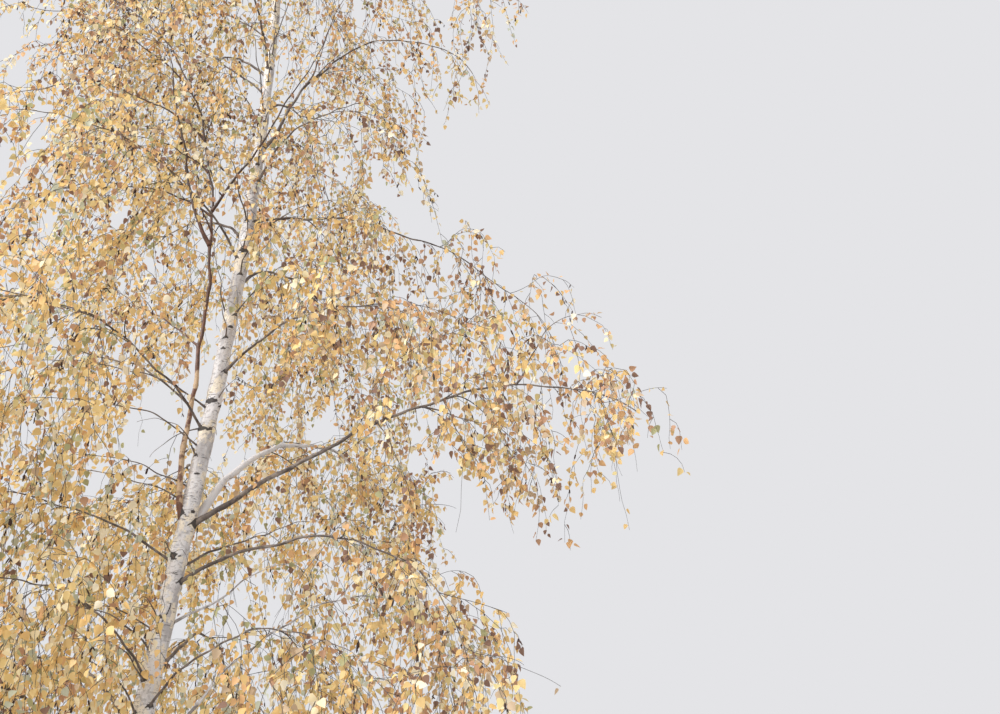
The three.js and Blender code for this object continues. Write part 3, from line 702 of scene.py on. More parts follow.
def seam_dark(arc, rise):
    """Dark of the thin, slightly bent seam in the bark."""
    arc = arc - SEAM_BEND * np.sin(rise / SEAM_HALF_HEIGHT * 2)
    ends = ramp(np.abs(rise), SEAM_HALF_HEIGHT, SEAM_HALF_HEIGHT - SEAM_END)
    return np.exp(-(arc / SEAM.half_width) ** 2) * ends


def trunk_part():
    """The trunk's tube of bark, with its swellings, cracks, scars and the sockets of its boughs.
    Every pattern of swells has a seed of its own."""
    sizes = bpy.context.scene.birch_sizes
    z = np.concatenate([np.arange(0, FINE_TOP, TRUNK_RING), np.arange(FINE_TOP, HEIGHT, COARSE_RING)])
    z[-1] = HEIGHT
    up = z[:, None]
    angle = np.arange(TRUNK_SIDES) / TRUNK_SIDES * 2 * math.pi
    out = np.stack([np.cos(angle), np.sin(angle), 0 * angle], -1)
    radius = trunk_radius(up, angle)
    around = radius.mean(axis=1)[:, None]
    surface = trunk_axis(z)[:, None] + radius[..., None] * out

    def place(mark):
        """How far the surface lies from a mark's middle, round the trunk and up."""
        turn = (angle - math.radians(mark.bearing) + math.pi) % (2 * math.pi) - math.pi
        return turn * around, up - mark.height

    old = ramp(up, *OLD_BARK)
    cracks = np.abs(swells(surface * CRACK_STRETCH, sizes.seed + 2, CRACK_WAVES))
    relief = sum(swells(surface, sizes.seed + k, waves) for k, waves in enumerate(TRUNK_WAVES))
    relief += CRACK_DEPTH * old * (cracks - CRACK_LEVEL)
    relief *= sizes.bark_relief * np.minimum(1, radius / THIN_TRUNK)
    ragged = 1 + swells(surface, sizes.seed + 3, RAGGED_WAVES)
    marks = [socket_marks(*place(mark), mark.half_width) for mark in exits()]
    marks += [chevron_marks(*place(mark), mark.half_width) for mark in CHEVRONS]
    marks += [knot_marks(*place(mark), mark.half_width, ragged) for mark in KNOTS]
    scar = seam_dark(*place(SEAM))
    for dark, raised in marks:
        scar += dark
        relief += raised
    relief *= ramp(up, 0, FOOT_FADE)
    rings = surface + relief[..., None] * out
    filled = {"scar": np.minimum(scar, SCAR_MOST), "old": np.broadcast_to(old, scar.shape)}
    return BarkPart(rings, z, TRUNK_WIDTH / 2, filled)


# The bark of a limb: distance between its rings, their sides, the height of its bumps as a part of
# its radius, and the distance between the swellings where side shoots once grew
LimbBark = namedtuple("LimbBark", "ring sides relief knots")
LIMB_WAVES = Waves(16, 0.02, 0.12)
SHOOT_SWELLING = 0.16
SHOOT_LENGTH = 0.012
SHOOT_SHIFT = 0.4  # how far a swelling may lie off its place, part of the distance between them


def knotty_radius(limb, s, spacing):
    """A limb's radius, with the swellings where side shoots once grew."""
    rng = np.random.default_rng(len(limb.name))
    radius = limb_radius(limb, s)
    knots = np.arange(spacing, limb.length, spacing)
    for at in knots + rng.uniform(-SHOOT_SHIFT, SHOOT_SHIFT, len(knots)) * spacing:
        radius = radius * (1 + SHOOT_SWELLING * np.exp(-((s * limb.length - at) / SHOOT_LENGTH) ** 2))
    return radius


def limb_part(limb, bark, marks):
    """A limb's tube of bark. marks gives its marks from the limb and the points of its middle."""
    s = np.arange(0, 1, bark.ring / limb.length)
    points = limb_points(limb, s)
    radius = knotty_radius(limb, s, bark.knots)
    side, across = side_ways(points)
    angle = np.arange(bark.sides) / bark.sides * 2 * math.pi
    out = side[:, None] * np.cos(angle)[:, None] + across[:, None] * np.sin(angle)[:, None]
    surface = points[:, None] + out * radius[:, None, None]
    bumps = swells(surface, bpy.context.scene.birch_sizes.seed + 5, LIMB_WAVES)
    rings = surface + out * (bumps * bark.relief * radius[:, None])[..., None]
    filled = {key: np.broadcast_to(np.reshape(value, (-1, 1)), rings.shape[:2])
              for key, value in marks(limb, points).items()}
    return BarkPart(rings, run_along(points), float(radius.mean()), filled)


# Growth

# A stretch of a limb, branch or twig: points along its middle, and its radius at each
Wood = namedtuple("Wood", "points radius")
# All that grows at one level of the crown
Crown = namedtuple("Crown", "branches twigs leaves catkins")
WOOD_STEP = 0.045  # metres between the points of a limb or branch


def limb_wood(limb, start, end=1.0):
    """A limb's wood between these parts of its length."""
    s = np.arange(start, end, WOOD_STEP / limb.length)
    return Wood(limb_points(limb, s), limb_radius(limb, s))


def foliage_nodes():
    """The names of the CAD nodes that are foliage masses."""
    return [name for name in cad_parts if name.startswith("foliage_")]


def surface_tree(nodes):
    """A search tree over the faces of these CAD nodes."""
    corners, triangles = [], []
    for name in nodes:
        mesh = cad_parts[name].data
        first = len(corners)
        corners += [vertex.co.copy() for vertex in mesh.vertices]
        triangles += [[first + i for i in face.vertices] for face in mesh.polygons]
    return BVHTree.FromPolygons(corners, triangles)


def depth(tree, points):
    """How deep each point lies inside the surface. It is under 0 outside."""
    deep = np.empty(len(points))
    for i, point in enumerate(points):
        at = Vector(point)
        hit, normal, _, gap = tree.find_nearest(at)
        deep[i] = gap if (hit - at).dot(normal) > 0 else -gap
    return deep


def seen_at(points):
    """Where the camera sees points on the upright plane through the trunk: x and z."""
    part = -EYE[1] / (points[..., 1] - EYE[1])
    return EYE[0] + (points[..., 0] - EYE[0]) * part, EYE[2] + (points[..., 2] - EYE[2]) * part


@functools.cache
def clear_lines():
    """The limbs that show between the leaves: their points, and where the camera sees those."""
    lines = [limb_path(ALL_LIMBS[name]) for name in CLEAR_LIMBS]
    return [(line, np.stack(seen_at(line), -1)) for line in lines]


def left_open(points, chance):
    """Which points lie in an opening, or before the trunk, and are to be left out. chance is a
    random number for each, and the openings' cover is the part of them that stays."""
    x, z = seen_at(points)
    cover = np.ones(len(points))
    for opening in OPENINGS:
        far = np.hypot((x - opening.x) / opening.half_width, (z - opening.z) / opening.half_height)
        cover[far < 1] = opening.cover
    trunk = trunk_axis(z)
    before = np.abs(x - trunk[:, 0] - TRUNK_OFFSET) < TRUNK_CLEAR
    before &= points[:, 1] < trunk[:, 1]
    cover[before] *= np.interp(z[before], CLEAR_HEIGHTS, CLEAR_COVER)
    for line, seen in clear_lines():
        far = np.hypot(x[:, None] - seen[:, 0], z[:, None] - seen[:, 1])
        before = far.min(axis=1) < LIMB_CLEAR
        before &= points[:, 1] < line[far.argmin(axis=1), 1]
        cover[before] *= LIMB_COVER
    return chance > cover


# The part of the usual number of twigs that grows, across the camera's view and up it
THICKNESS_ACROSS = ((-0.8, 0.2, 1.2, 3.2), (0.9, 0.8, 0.76, 0.66))
THICKNESS_UP = ((2.4, 3.2, 4.0, 4.9, 6, 7, 8), (0.82, 0.92, 1.05, 0.95, 0.9, 0.82, 0.95))


def thickness_at(points):
    """Part of the usual number of twigs that grows here: the side to the left is fuller."""
    x, z = seen_at(points)
    return np.interp(x, *THICKNESS_ACROSS) * np.interp(z, *THICKNESS_UP)


def curve(start, start_way, end, end_way, count):
    """A smooth line between two points, with a way at each that pulls the more the longer it is."""
    t = np.linspace(0, 1, count)[:, None]
    return ((2 * t ** 3 - 3 * t ** 2 + 1) * start + (t ** 3 - 2 * t ** 2 + t) * start_way
            + (3 * t ** 2 - 2 * t ** 3) * end + (t ** 3 - t ** 2) * end_way)


def blend(parts, *ways):
    """The direction made of these parts of these ways."""
    return unit(sum(part * way for part, way in zip(parts, ways)))


# Where branches end
CLOUD = 900  # points of an envelope's box that are tried
END_TRIES = 14  # of these, the one with most room round it is taken
END_DEPTH = 0.06  # how deep in the envelope an end lies
HANG_ROOM = 0.3  # a point this far under an end is in the envelope too

# A branch starts where the wood is nearest to its end, but these count as a longer way: a sharp
# turn, thin wood, and a start that is nearly at the end.
TURN_COST = 1.1  # part of the distance, for a turn past the easy one
EASY_TURN = 0.55  # cosine of that
THIN_COST = 0.25  # metres
THIN_WOOD = 0.0022  # radius under which wood is thin
NEAR_COST = 9
LEAST_REACH = 0.12

# How branches run
START_WAY = (0.55, 0.8, 0.28)  # parts of the wood's way, of the way to the end, and up
END_WAY = (0.8, 0.5, -0.55)  # parts of the way to the end, of the way out from the trunk, and up
END_PULL = 0.8  # how far a branch keeps its end's way, part of its reach
BRANCH_SLACK = 1.1  # a branch's length over its reach
BRANCH_STEPS = 6  # least number of points in a branch
BRANCH_WAVE = 0.012  # height of its waves, part of its reach
BRANCH_WAVES = 3
BRANCH_BASE = (0.0026, 0.0042)  # radius at its start, and what each metre of reach adds to it
BRANCH_SHARE = 0.72  # that radius is at most this part of the wood's
BRANCH_TIP = 0.0013
BRANCH_TAPER = 0.8
BRANCH_LEAST = 0.0011  # least radius that is built


def branch_ends(spine, envelope, box, rng):
    """Points in an envelope, each well away from the spine and the others, the ones that are
    nearest to the spine first."""
    low, high = box
    cloud = rng.uniform(low, high, (CLOUD, 3))
    room = depth(envelope, cloud)
    below = depth(envelope, cloud - HANG_ROOM * UP)
    volume = np.mean(room > 0) * np.prod(high - low)
    cloud = cloud[(room > END_DEPTH) & (below > 0)]
    count = int(round(volume * bpy.context.scene.birch_sizes.crowding))
    if not len(cloud) or not count:
        return []
    near = np.linalg.norm(cloud[:, None] - spine[None], axis=-1).min(axis=1)
    ends = []
    for _ in range(count):
        tries = rng.integers(0, len(cloud), END_TRIES)
        best = tries[np.argmax(near[tries])]
        ends.append(cloud[best])
        near = np.minimum(near, np.linalg.norm(cloud - cloud[best], axis=1))
    return sorted(ends, key=lambda end: np.linalg.norm(end - spine, axis=1).min())


def branch_line(start, way, thick, end, rng):
    """The line and radius of a branch from wood with this way and radius to its end."""
    reach = np.linalg.norm(end - start, axis=-1)
    toward = (end - start) / reach
    outward = unit(end - trunk_axis(end[2]) + TINY)
    first = blend(START_WAY, way, toward, UP)
    last = blend(END_WAY, toward, outward, UP)
    steps = max(BRANCH_STEPS, int(reach * BRANCH_SLACK / WOOD_STEP))
    line = curve(start, first * reach, end, last * reach * END_PULL, steps)
    t = np.linspace(0, 1, steps)
    wave = rng.normal(0, BRANCH_WAVE * reach, (BRANCH_WAVES, 3))
    line += sum(np.sin(math.pi * t * (j + 1))[:, None] * wave[j] / (j + 1)
                for j in range(BRANCH_WAVES))
    least, added = BRANCH_BASE
    base = min(least + added * reach, BRANCH_SHARE * thick)
    return line, base + (BRANCH_TIP - base) * t ** BRANCH_TAPER


def grow_branches(spine, envelope, box, rng):
    """Branches that fill an envelope from its spine. Each starts at the place on the wood grown so
    far that is handiest for its end."""
    nodes, ways, radii = [spine.points], [unit(np.gradient(spine.points, axis=0))], [spine.radius]
    branches = []
    for end in branch_ends(spine.points, envelope, box, rng):
        at, way, thick = np.concatenate(nodes), np.concatenate(ways), np.concatenate(radii)
        to = end - at
        far = np.linalg.norm(to, axis=1)
        turn = (to * way).sum(axis=1) / np.maximum(far, TINY)
        cost = far * (1 + TURN_COST * np.maximum(0, EASY_TURN - turn))
        cost += THIN_COST * (thick < THIN_WOOD)
        cost += NEAR_COST * (far < LEAST_REACH)
        k = int(np.argmin(cost))
        line, radius = branch_line(at[k], way[k], thick[k], end, rng)
        nodes.append(line[1:])
        ways.append(unit(np.gradient(line, axis=0))[1:])
        radii.append(radius[1:])
        branches.append(Wood(line, np.maximum(radius, BRANCH_LEAST)))
    return branches


# Twigs
TWIG_POINTS = 9
SIDE_POINTS = 5
LEAST_POINTS = 3  # a twig that is cut off shorter is left out
TWIG_SPREAD = (0.4, 0.15, 1.3)  # spread of the twigs' lengths, the least and the greatest length
SIDE_SPREAD = (0.35, 0.08, 0.45)  # the same for side twigs
GROUND_CLEAR = 0.25
OVERHANG = (0.1, 0.8)  # how far out of the foliage masses twigs hang
OFFSHOOT_OVERHANG = (0.5, 1.3)  # the same for the twigs of the offshoots
OPENING_CHANCE = (0.1, 0.45)  # the least cover of an opening that a twig grows on into
BARE_START = 0.08  # part of a limb's length where its first thin twigs grow
BARE_SPACING = 1.8  # times the usual distance between those twigs
OFFSHOOT_START = 0.12  # part of an offshoot's length where its first twigs grow
FIRST_SHOOT = (0.2, 1)  # where a line's first shoot grows, part of their spacing
SHOOT_STRAY = 0.3  # how far a shoot lies off its place, part of their spacing
SHOOT_TILT = 0.3  # how far the way to its side leans from level
SHOOT_SIDE = (0.5, 1.1)  # its own way: parts of the way to its side
SHOOT_ALONG = 0.75  # of the way along its line
SHOOT_RISE = (-0.5, 0.45)  # and up
TWIG_DRIFT = 0.18  # how far the end of a twig leans from straight down
TWIG_TURN = (0.08, 0.34)  # length over which it turns down
TWIG_STRAY = 0.1  # how far each of its steps strays


def on_line(points, at):
    """The points and directions at these distances along a line of points."""
    along = run_along(points)
    way = unit(np.gradient(points, axis=0))
    place = np.stack([np.interp(at, along, points[:, k]) for k in range(3)], -1)
    return place, unit(np.stack([np.interp(at, along, way[:, k]) for k in range(3)], -1))


def shoots(lines, spacing, rng):
    """Places a spacing apart along lines of points, with a way out to each side in turn."""
    starts, ways = [], []
    for line in lines:
        end = run_along(line)[-1]
        at = np.arange(rng.uniform(*FIRST_SHOOT) * spacing, end, spacing)
        at = np.clip(at + rng.uniform(-SHOOT_STRAY, SHOOT_STRAY, len(at)) * spacing, 0, end)
        point, way = on_line(line, at)
        side = unit(np.cross(way, UP + rng.normal(0, SHOOT_TILT, 3)))
        sign = np.where(np.arange(len(at)) % 2, 1, -1)[:, None]
        sign = sign * rng.uniform(*SHOOT_SIDE, (len(at), 1))
        rise = rng.uniform(*SHOOT_RISE, (len(at), 1))
        starts.append(point)
        ways.append(unit(SHOOT_ALONG * way + sign * side + rise * UP))
    return np.concatenate(starts), np.concatenate(ways)


def hang(start, way, span, count, crown, over, rng):
    """Twigs that set off along a way and bend down under their own weight. They stop where they
    are further out of the crown than lies between the values of over, and those that would fill
    an opening are left out."""
    keep = ~left_open(start, rng.random(len(start))) & (rng.random(len(start)) < thickness_at(start))
    start, way, step = start[keep], way[keep], span[keep][:, None] / (count - 1)
    drift = rng.normal(0, TWIG_DRIFT, (len(start), 3)) * [1, 1, 0]
    turn = rng.uniform(*TWIG_TURN, (len(start), 1))
    lines = [start]
    for k in range(count - 1):
        bent = 1 - np.exp(-(k + 0.5) * step / turn)
        stray = rng.normal(0, TWIG_STRAY, (len(start), 3))
        lines.append(lines[-1] + step * unit((1 - bent) * way + bent * (drift - UP) + stray))
    twigs = []
    for line, least in zip(np.stack(lines, 1), rng.uniform(*over, len(start))):
        out = (depth(crown, line) < -least) | (line[:, 2] < GROUND_CLEAR)
        out |= left_open(line, rng.uniform(*OPENING_CHANCE))
        out[0] = False
        end = int(np.argmax(out)) if out.any() else len(line)
        if end >= LEAST_POINTS:
            twigs.append(line[:end])
    return twigs


def spans(usual, spread, count, rng):
    """Seeded lengths of twigs around the usual one, held between the spread's limits."""
    sigma, least, greatest = spread
    return np.clip(usual * rng.lognormal(0, sigma, count), least, greatest)


def grow_twigs(branches, crown, over, spacing, rng):
    """Hanging twigs a spacing apart along the branches and on from their ends, and side twigs on
    those."""
    sizes = bpy.context.scene.birch_sizes
    lines = [branch.points for branch in branches]
    start, way = shoots(lines, spacing, rng)
    start = np.concatenate([start, [line[-1] for line in lines]])
    way = np.concatenate([way, [unit(line[-1] - line[-2]) for line in lines]])
    span = spans(sizes.twig_length, TWIG_SPREAD, len(start), rng)
    twigs = hang(start, way, span, TWIG_POINTS, crown, over, rng)
    if not twigs:
        return []
    start, way = shoots(twigs, sizes.side_spacing, rng)
    span = spans(sizes.side_length, SIDE_SPREAD, len(start), rng)
    return twigs + hang(start, way, span, SIDE_POINTS, crown, over, rng)


def turned(along, facing):
    """Euler turns that bring +Y to along and +Z as near to facing as it goes."""
    y = unit(along)
    x = unit(np.cross(y, facing) + TINY)
    z = np.cross(x, y)
    return np.stack([np.arctan2(y[:, 2], z[:, 2]), -np.arcsin(np.clip(x[:, 2], -1, 1)),
                     np.arctan2(x[:, 1], x[:, 0])], -1)


# Copies of one small mesh: their points, turns, sizes and numbers of tints
Sprigs = namedtuple("Sprigs", "points turns sizes tints")
# Leaves before they are turned: their points, the ways of their twigs there, the ways to their own
# sides of the twigs, their sizes and the numbers of their sprays
Leaves = namedtuple("Leaves", "points ways sides sizes sprays")
LEAVES_LEFT = (0.4, 1.0)  # least and greatest part of a twig's leaves that haven't fallen
FIRST_LEAF = (0.02, 0.06)  # how far along a twig its first leaf lies
LEAF_STRAY = 0.3  # how far a leaf lies off its place, part of their spacing
LEAF_SIDE = 0.5  # how far it turns off its side of the twig, in radians
LEAF_SIZE = (0.72, 0.38)  # at a twig's ends, and what is added towards its middle
LEAF_SWELL = 0.6  # the less it is, the sooner they are large
SPRAY_LEAVES = 3  # neighbours on a twig that share a tint
SHORT_SHOOTS = 0.7  # leaves on a branch's short shoots, part of the number of its points
SHORT_LEAVES = 2  # those that share a tint
SHORT_SIZE = (0.7, 1.0)
ALONG_TWIG = 0.2  # how far a leaf points along its twig, when 1 is to its side
LEAF_HANG = (0.2, 2.2)  # how far it points down
LEAF_LEAN = 0.25  # and at random
FACE_SIDE = 0.5  # how far its upper face turns to its side of the twig
FACE_UP = 0.2  # and up
FACE_TURN = 0.9  # and at random
TOP_START = 2.5  # height from which tints and sizes change towards the top's
TOP_RISE = 6  # height over which they do
TOP_LEAF = (1.04, 0.16)  # size at the crown's foot, and what is lost towards the top
RIGHT_START = 0.3  # x from which the tints change towards the right side's
RIGHT_RISE = 2  # metres over which they do
RIGHT_LATER_AND_SHADED = 1.5  # how much darker and browner the right side's tints are: partly further on in autumn, partly painted shade
LATEST_WITH_SHADE = 1.9  # how far on a spray's tints may go, from autumn and, on the right side, painted shade; at 1 it is as at the top
CATKIN_HEIGHTS = (2, 9)
CATKIN_SHARE = (0.13, 0.28)  # part of the twigs with catkins at those heights
CATKINS_LEFT = 0.06  # more of them to the left of the trunk
CATKINS_MOST = 3  # on one twig
CATKIN_PLACE = (0.35, 1)  # parts of a twig's length between which they hang
CATKIN_LEAN = 0.3  # how far they lean from straight down
CATKIN_SIZE = (0.75, 1.2)


def towards_top(points):
    """How far points are on the way from the crown's foot, 0, to its top, 1."""
    return smooth((points[:, 2] - TOP_START) / TOP_RISE)


def spray_tints(points, sprays, rng):
    """The number of each spray's tint, from how far on in autumn its last leaf is, and on the right side
    from painted shade too.
    """
    right = smooth((points[:, 0] - RIGHT_START) / RIGHT_RISE)
    # painted shade: the right side gets darker, browner tints that tone down its light, besides its
    # later autumn
    autumn_with_shade = towards_top(points) + RIGHT_LATER_AND_SHADED * right
    spray_season_and_shade = np.zeros(int(sprays.max()) + 1)
    spray_season_and_shade[sprays] = np.clip(autumn_with_shade, 0, LATEST_WITH_SHADE)
    low = np.array([tint.low for tint in TINTS])
    high = np.array([tint.high for tint in TINTS])
    chances = low + (high - low) * spray_season_and_shade[:, None]
    steps = np.cumsum(chances / chances.sum(axis=1, keepdims=True), axis=1)
    return np.minimum((rng.random(len(spray_season_and_shade))[:, None] > steps).sum(axis=1), len(TINTS) - 1)


def twig_leaves(line, end, spray, rng):
    """Leaves on each side in turn along a twig of this length, if any are left, in sprays that
    are numbered from this one."""
    spacing = bpy.context.scene.birch_sizes.leaf_spacing
    at = np.arange(rng.uniform(*FIRST_LEAF), end, spacing)
    at = at + rng.uniform(-LEAF_STRAY, LEAF_STRAY, len(at)) * spacing
    at = at[rng.random(len(at)) < rng.uniform(*LEAVES_LEFT)]
    if not len(at):
        return None
    point, way = on_line(line, at)
    angle = rng.uniform(0, 2 * math.pi) + np.arange(len(at)) * math.pi
    angle = angle + rng.normal(0, LEAF_SIDE, len(at))
    one = unit(np.cross(way, rng.normal(size=3)) + TINY)
    two = np.cross(way, one)
    side = np.cos(angle)[:, None] * one + np.sin(angle)[:, None] * two
    least, added = LEAF_SIZE
    size = least + added * np.sin(math.pi * np.clip(at / end, 0, 1)) ** LEAF_SWELL
    return Leaves(point, way, side, size, spray + np.arange(len(at)) // SPRAY_LEAVES)


def short_shoot_leaves(branch, spray, rng):
    """Leaves on the short shoots of a branch, in sprays that are numbered from this one."""
    count = int(len(branch.points) * SHORT_SHOOTS)
    k = rng.integers(1, len(branch.points), count)
    way = unit(np.gradient(branch.points, axis=0))[k]
    side = unit(rng.normal(size=(count, 3)))
    size = rng.uniform(*SHORT_SIZE, count)
    return Leaves(branch.points[k], way, side, size, spray + np.arange(count) // SHORT_LEAVES)


def leaf_sprigs(leaves, rng):
    """The leaves turned, with those left out that would fill an opening."""
    kept = ~left_open(leaves.points, rng.random(len(leaves.points)))
    leaves = Leaves(*(values[kept] for values in leaves))
    shape = leaves.points.shape
    droop = rng.uniform(*LEAF_HANG, (len(leaves.points), 1))
    along = ALONG_TWIG * leaves.ways + leaves.sides - droop * UP + rng.normal(0, LEAF_LEAN, shape)
    facing = FACE_SIDE * leaves.sides + FACE_UP * UP + rng.normal(0, FACE_TURN, shape)
    full, lost = TOP_LEAF
    sizes = leaves.sizes * (full - lost * towards_top(leaves.points))
    tints = spray_tints(leaves.points, leaves.sprays, rng)[leaves.sprays]
    return Sprigs(leaves.points, turned(unit(along), unit(facing)), sizes, tints)


def twig_catkins(line, end, rng):
    """Where catkins hang on a twig of this length, if any do."""
    share = np.interp(line[0][2], CATKIN_HEIGHTS, CATKIN_SHARE)
    share += CATKINS_LEFT * (line[0][0] < RIGHT_START)
    if rng.random() >= share:
        return np.empty((0, 3))
    count = rng.integers(1, CATKINS_MOST + 1)
    return on_line(line, rng.uniform(*CATKIN_PLACE, count) * end)[0]


def catkin_sprigs(points, rng):
    """Catkins that hang from these points, with those left out that would fill an opening."""
    points = points[~left_open(points, rng.random(len(points)))]
    turns = turned(rng.normal(0, CATKIN_LEAN, points.shape) - UP, rng.normal(size=points.shape))
    sizes = rng.uniform(*CATKIN_SIZE, len(points))
    return Sprigs(points, turns, sizes, np.zeros(len(points), int))


def dress(twigs, branches, rng):
    """Leaves along the twigs and on short shoots of the branches, and catkins on the twigs."""
    made, catkin_points = [], [np.empty((0, 3))]
    spray = 0
    for line in twigs:
        end = run_along(line)[-1]
        leaves = twig_leaves(line, end, spray, rng)
        if leaves:
            made.append(leaves)
            spray = leaves.sprays[-1] + 1
            catkin_points.append(twig_catkins(line, end, rng))
    for branch in branches:
        made.append(short_shoot_leaves(branch, spray, rng))
        spray += len(made[-1].points)
    leaves = leaf_sprigs(Leaves(*(np.concatenate(values) for values in zip(*made))), rng)
    return leaves, catkin_sprigs(np.concatenate(catkin_points), rng)


LIMB_SEEDS = 1000  # how many seeds of its own each seed of the tree gives its limbs
OFFSHOOT_SEED = 999  # the one of these for the growth on the offshoots


@functools.cache
def growth():
    """Everything that grows in the foliage masses, by level of the crown. It is worked out once."""
    sizes = bpy.context.scene.birch_sizes
    crown = surface_tree(foliage_nodes())
    by_level = {level: Crown([], [], [], []) for level in LEVELS}

    def gather(level, branches, twigs, dressed):
        """Adds what has grown to a level of the crown."""
        leaves, catkins = dressed
        by_level[level].branches.extend(branches)
        by_level[level].twigs.extend(twigs)
        by_level[level].leaves.append(leaves)
        by_level[level].catkins.append(catkins)

    for number, limb in enumerate((STEM,) + BOUGHS + (None,)):
        rng = np.random.default_rng(sizes.seed * LIMB_SEEDS + number)
        if limb:
            spine = limb_wood(limb, limb.bare - BARE_OVERLAP)
            node, level = f"foliage_{limb.name}", limb.level
        else:
            z = np.arange(LEADER[0], LEADER[1], WOOD_STEP)
            spine = Wood(trunk_axis(z), trunk_radius(z))
            node, level = "foliage_top", "crest"
        box = [np.array(corner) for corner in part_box(node)]
        branches = grow_branches(spine, surface_tree([node]), box, rng)
        twigs = grow_twigs(branches + [spine], crown, OVERHANG, sizes.twig_spacing, rng)
        if limb:
            bare = limb_wood(limb, BARE_START, limb.bare)
            spacing = sizes.twig_spacing * BARE_SPACING
            twigs += grow_twigs([bare], crown, OFFSHOOT_OVERHANG, spacing, rng)
        gather(level, branches, twigs, dress(twigs, branches, rng))
    rng = np.random.default_rng(sizes.seed * LIMB_SEEDS + OFFSHOOT_SEED)
    for limb in OFFSHOOTS:
        wood = limb_wood(limb, OFFSHOOT_START)
        twigs = grow_twigs([wood], crown, OFFSHOOT_OVERHANG, sizes.twig_spacing, rng)
        gather(limb.level, [], twigs, dress(twigs, [wood], rng))
    return by_level


def joined(kind):
    """All the leaves or all the catkins of the crown as one."""
    made = [sprigs for crown in growth().values() for sprigs in getattr(crown, kind)]
    return Sprigs(*(np.concatenate(values) for values in zip(*made)))


# Geometry Nodes

def node_group(name, inputs):
    """An empty geometry tree with these named inputs, and the sockets that give them."""
    tree = bpy.data.node_groups.new(name, "GeometryNodeTree")
    tree.interface.new_socket("Geometry", in_out="INPUT", socket_type="NodeSocketGeometry")
    for label, kind in inputs:
        tree.interface.new_socket(label, in_out="INPUT", socket_type=f"NodeSocket{kind}")
    tree.interface.new_socket("Geometry", in_out="OUTPUT", socket_type="NodeSocketGeometry")
    return tree, add(tree, "NodeGroupInput").outputs


def finish_group(tree, geometry, material):
    """Ends a geometry tree in smooth, realized geometry with the material on it."""
    soft = add(tree, "GeometryNodeSetShadeSmooth", None, {"Geometry": geometry})
    real = add(tree, "GeometryNodeRealizeInstances", None, {"Geometry": soft.outputs[0]})
    painted = add(tree, "GeometryNodeSetMaterial", None,
                  {"Geometry": real.outputs[0], "Material": material})
    add(tree, "NodeGroupOutput", None, {"Geometry": painted.outputs[0]})


def lines_group():
    """Round wood along lines of points, as thick as their attribute says."""
    tree, given = node_group("Wood along lines", (("Sides", "Int"), ("Material", "Material")))
    line = add(tree, "GeometryNodeMeshToCurve", None, {"Mesh": given["Geometry"]})
    profile = add(tree, "GeometryNodeCurvePrimitiveCircle", None,
                  {"Resolution": given["Sides"], "Radius": 1.0})
    thick = add(tree, "GeometryNodeInputNamedAttribute", {"data_type": "FLOAT"}, {"Name": "thick"})
    wood = add(tree, "GeometryNodeCurveToMesh", None,
               {"Curve": line.outputs[0], "Profile Curve": profile.outputs[0],
                "Scale": thick.outputs[0], "Fill Caps": True})
    finish_group(tree, wood.outputs[0], given["Material"])
    return tree


def sprigs_group():
    """A copy of one mesh on every point, turned and sized by the points' attributes."""
    tree, given = node_group("Sprigs on points", (
        ("Sprig", "Object"), ("Least Size", "Float"), ("Greatest Size", "Float"), ("Seed", "Int"),
        ("Material", "Material")))
    sprig = add(tree, "GeometryNodeObjectInfo", None, {"Object": given["Sprig"]})
    turn = add(tree, "GeometryNodeInputNamedAttribute", {"data_type": "FLOAT_VECTOR"}, {"Name": "turn"})
    size = add(tree, "GeometryNodeInputNamedAttribute", {"data_type": "FLOAT"}, {"Name": "size"})
    spread = add(tree, "FunctionNodeRandomValue", {"data_type": "FLOAT"},
                 {2: given["Least Size"], 3: given["Greatest Size"], "Seed": given["Seed"]})
    scale = add(tree, "ShaderNodeMath", {"operation": "MULTIPLY"},
                {0: size.outputs[0], 1: spread.outputs[1]})
    placed = add(tree, "GeometryNodeInstanceOnPoints", None,
                 {"Points": given["Geometry"], "Instance": sprig.outputs["Geometry"],
                  "Rotation": turn.outputs[0], "Scale": scale.outputs[0]})
    finish_group(tree, placed.outputs[0], given["Material"])
    return tree


def evaluated(name, mesh, tree, inputs):
    """The plain mesh that a geometry tree makes of a mesh, with the tree's inputs set by name."""
    holder = bpy.data.objects.new(name, mesh)
    bpy.context.scene.collection.objects.link(holder)
    modifier = holder.modifiers.new(tree.name, "NODES")
    modifier.node_group = tree
    sockets = {item.name: item.identifier for item in tree.interface.items_tree
               if item.in_out == "INPUT"}
    for label, value in inputs.items():
        modifier[sockets[label]] = value
    bpy.context.view_layer.update()
    graph = bpy.context.evaluated_depsgraph_get()
    made = bpy.data.meshes.new_from_object(holder.evaluated_get(graph), depsgraph=graph)
    holder.modifiers.remove(modifier)
    bpy.data.objects.remove(holder)
    made.name = name
    return made


def lines_mesh(name, woods):
    """Lines of points for the wood along lines, with its radius on them."""
    points = np.concatenate([wood.points for wood in woods])
    counts = np.array([len(wood.points) for wood in woods])
    pairs = np.stack([np.arange(len(points) - 1), np.arange(1, len(points))], -1)
    joined_up = np.ones(len(pairs), bool)
    joined_up[np.cumsum(counts)[:-1] - 1] = False
    mesh = mesh_of(name, points.tolist(), pairs[joined_up].tolist())
    give_points(mesh, "thick", np.concatenate([wood.radius for wood in woods]))
    return mesh


def points_mesh(name, points, turns, sizes):
    """Points for the sprigs, with their turns and sizes on them."""
    mesh = mesh_of(name, points.tolist())
    give_points(mesh, "turn", turns)
    give_points(mesh, "size", sizes)
    return mesh


# Leaf and catkin

LEAF_OUTLINE = ((0.33, 0.07), (0.5, 0.29), (0.33, 0.62))  # parts of width and length
LEAF_FOLD = 0.16  # rise of the blade's edge, part of its width
LEAF_DROOP = 0.1  # fall of the tip, part of the length
LEAF_MIDDLE = (0.45, -0.015)  # along and up, parts of the length, where the folds meet
LEAF_SPREAD = (0.78, 1.18)  # least and greatest of the leaves' sizes
STALK_WIDTH = 0.0016


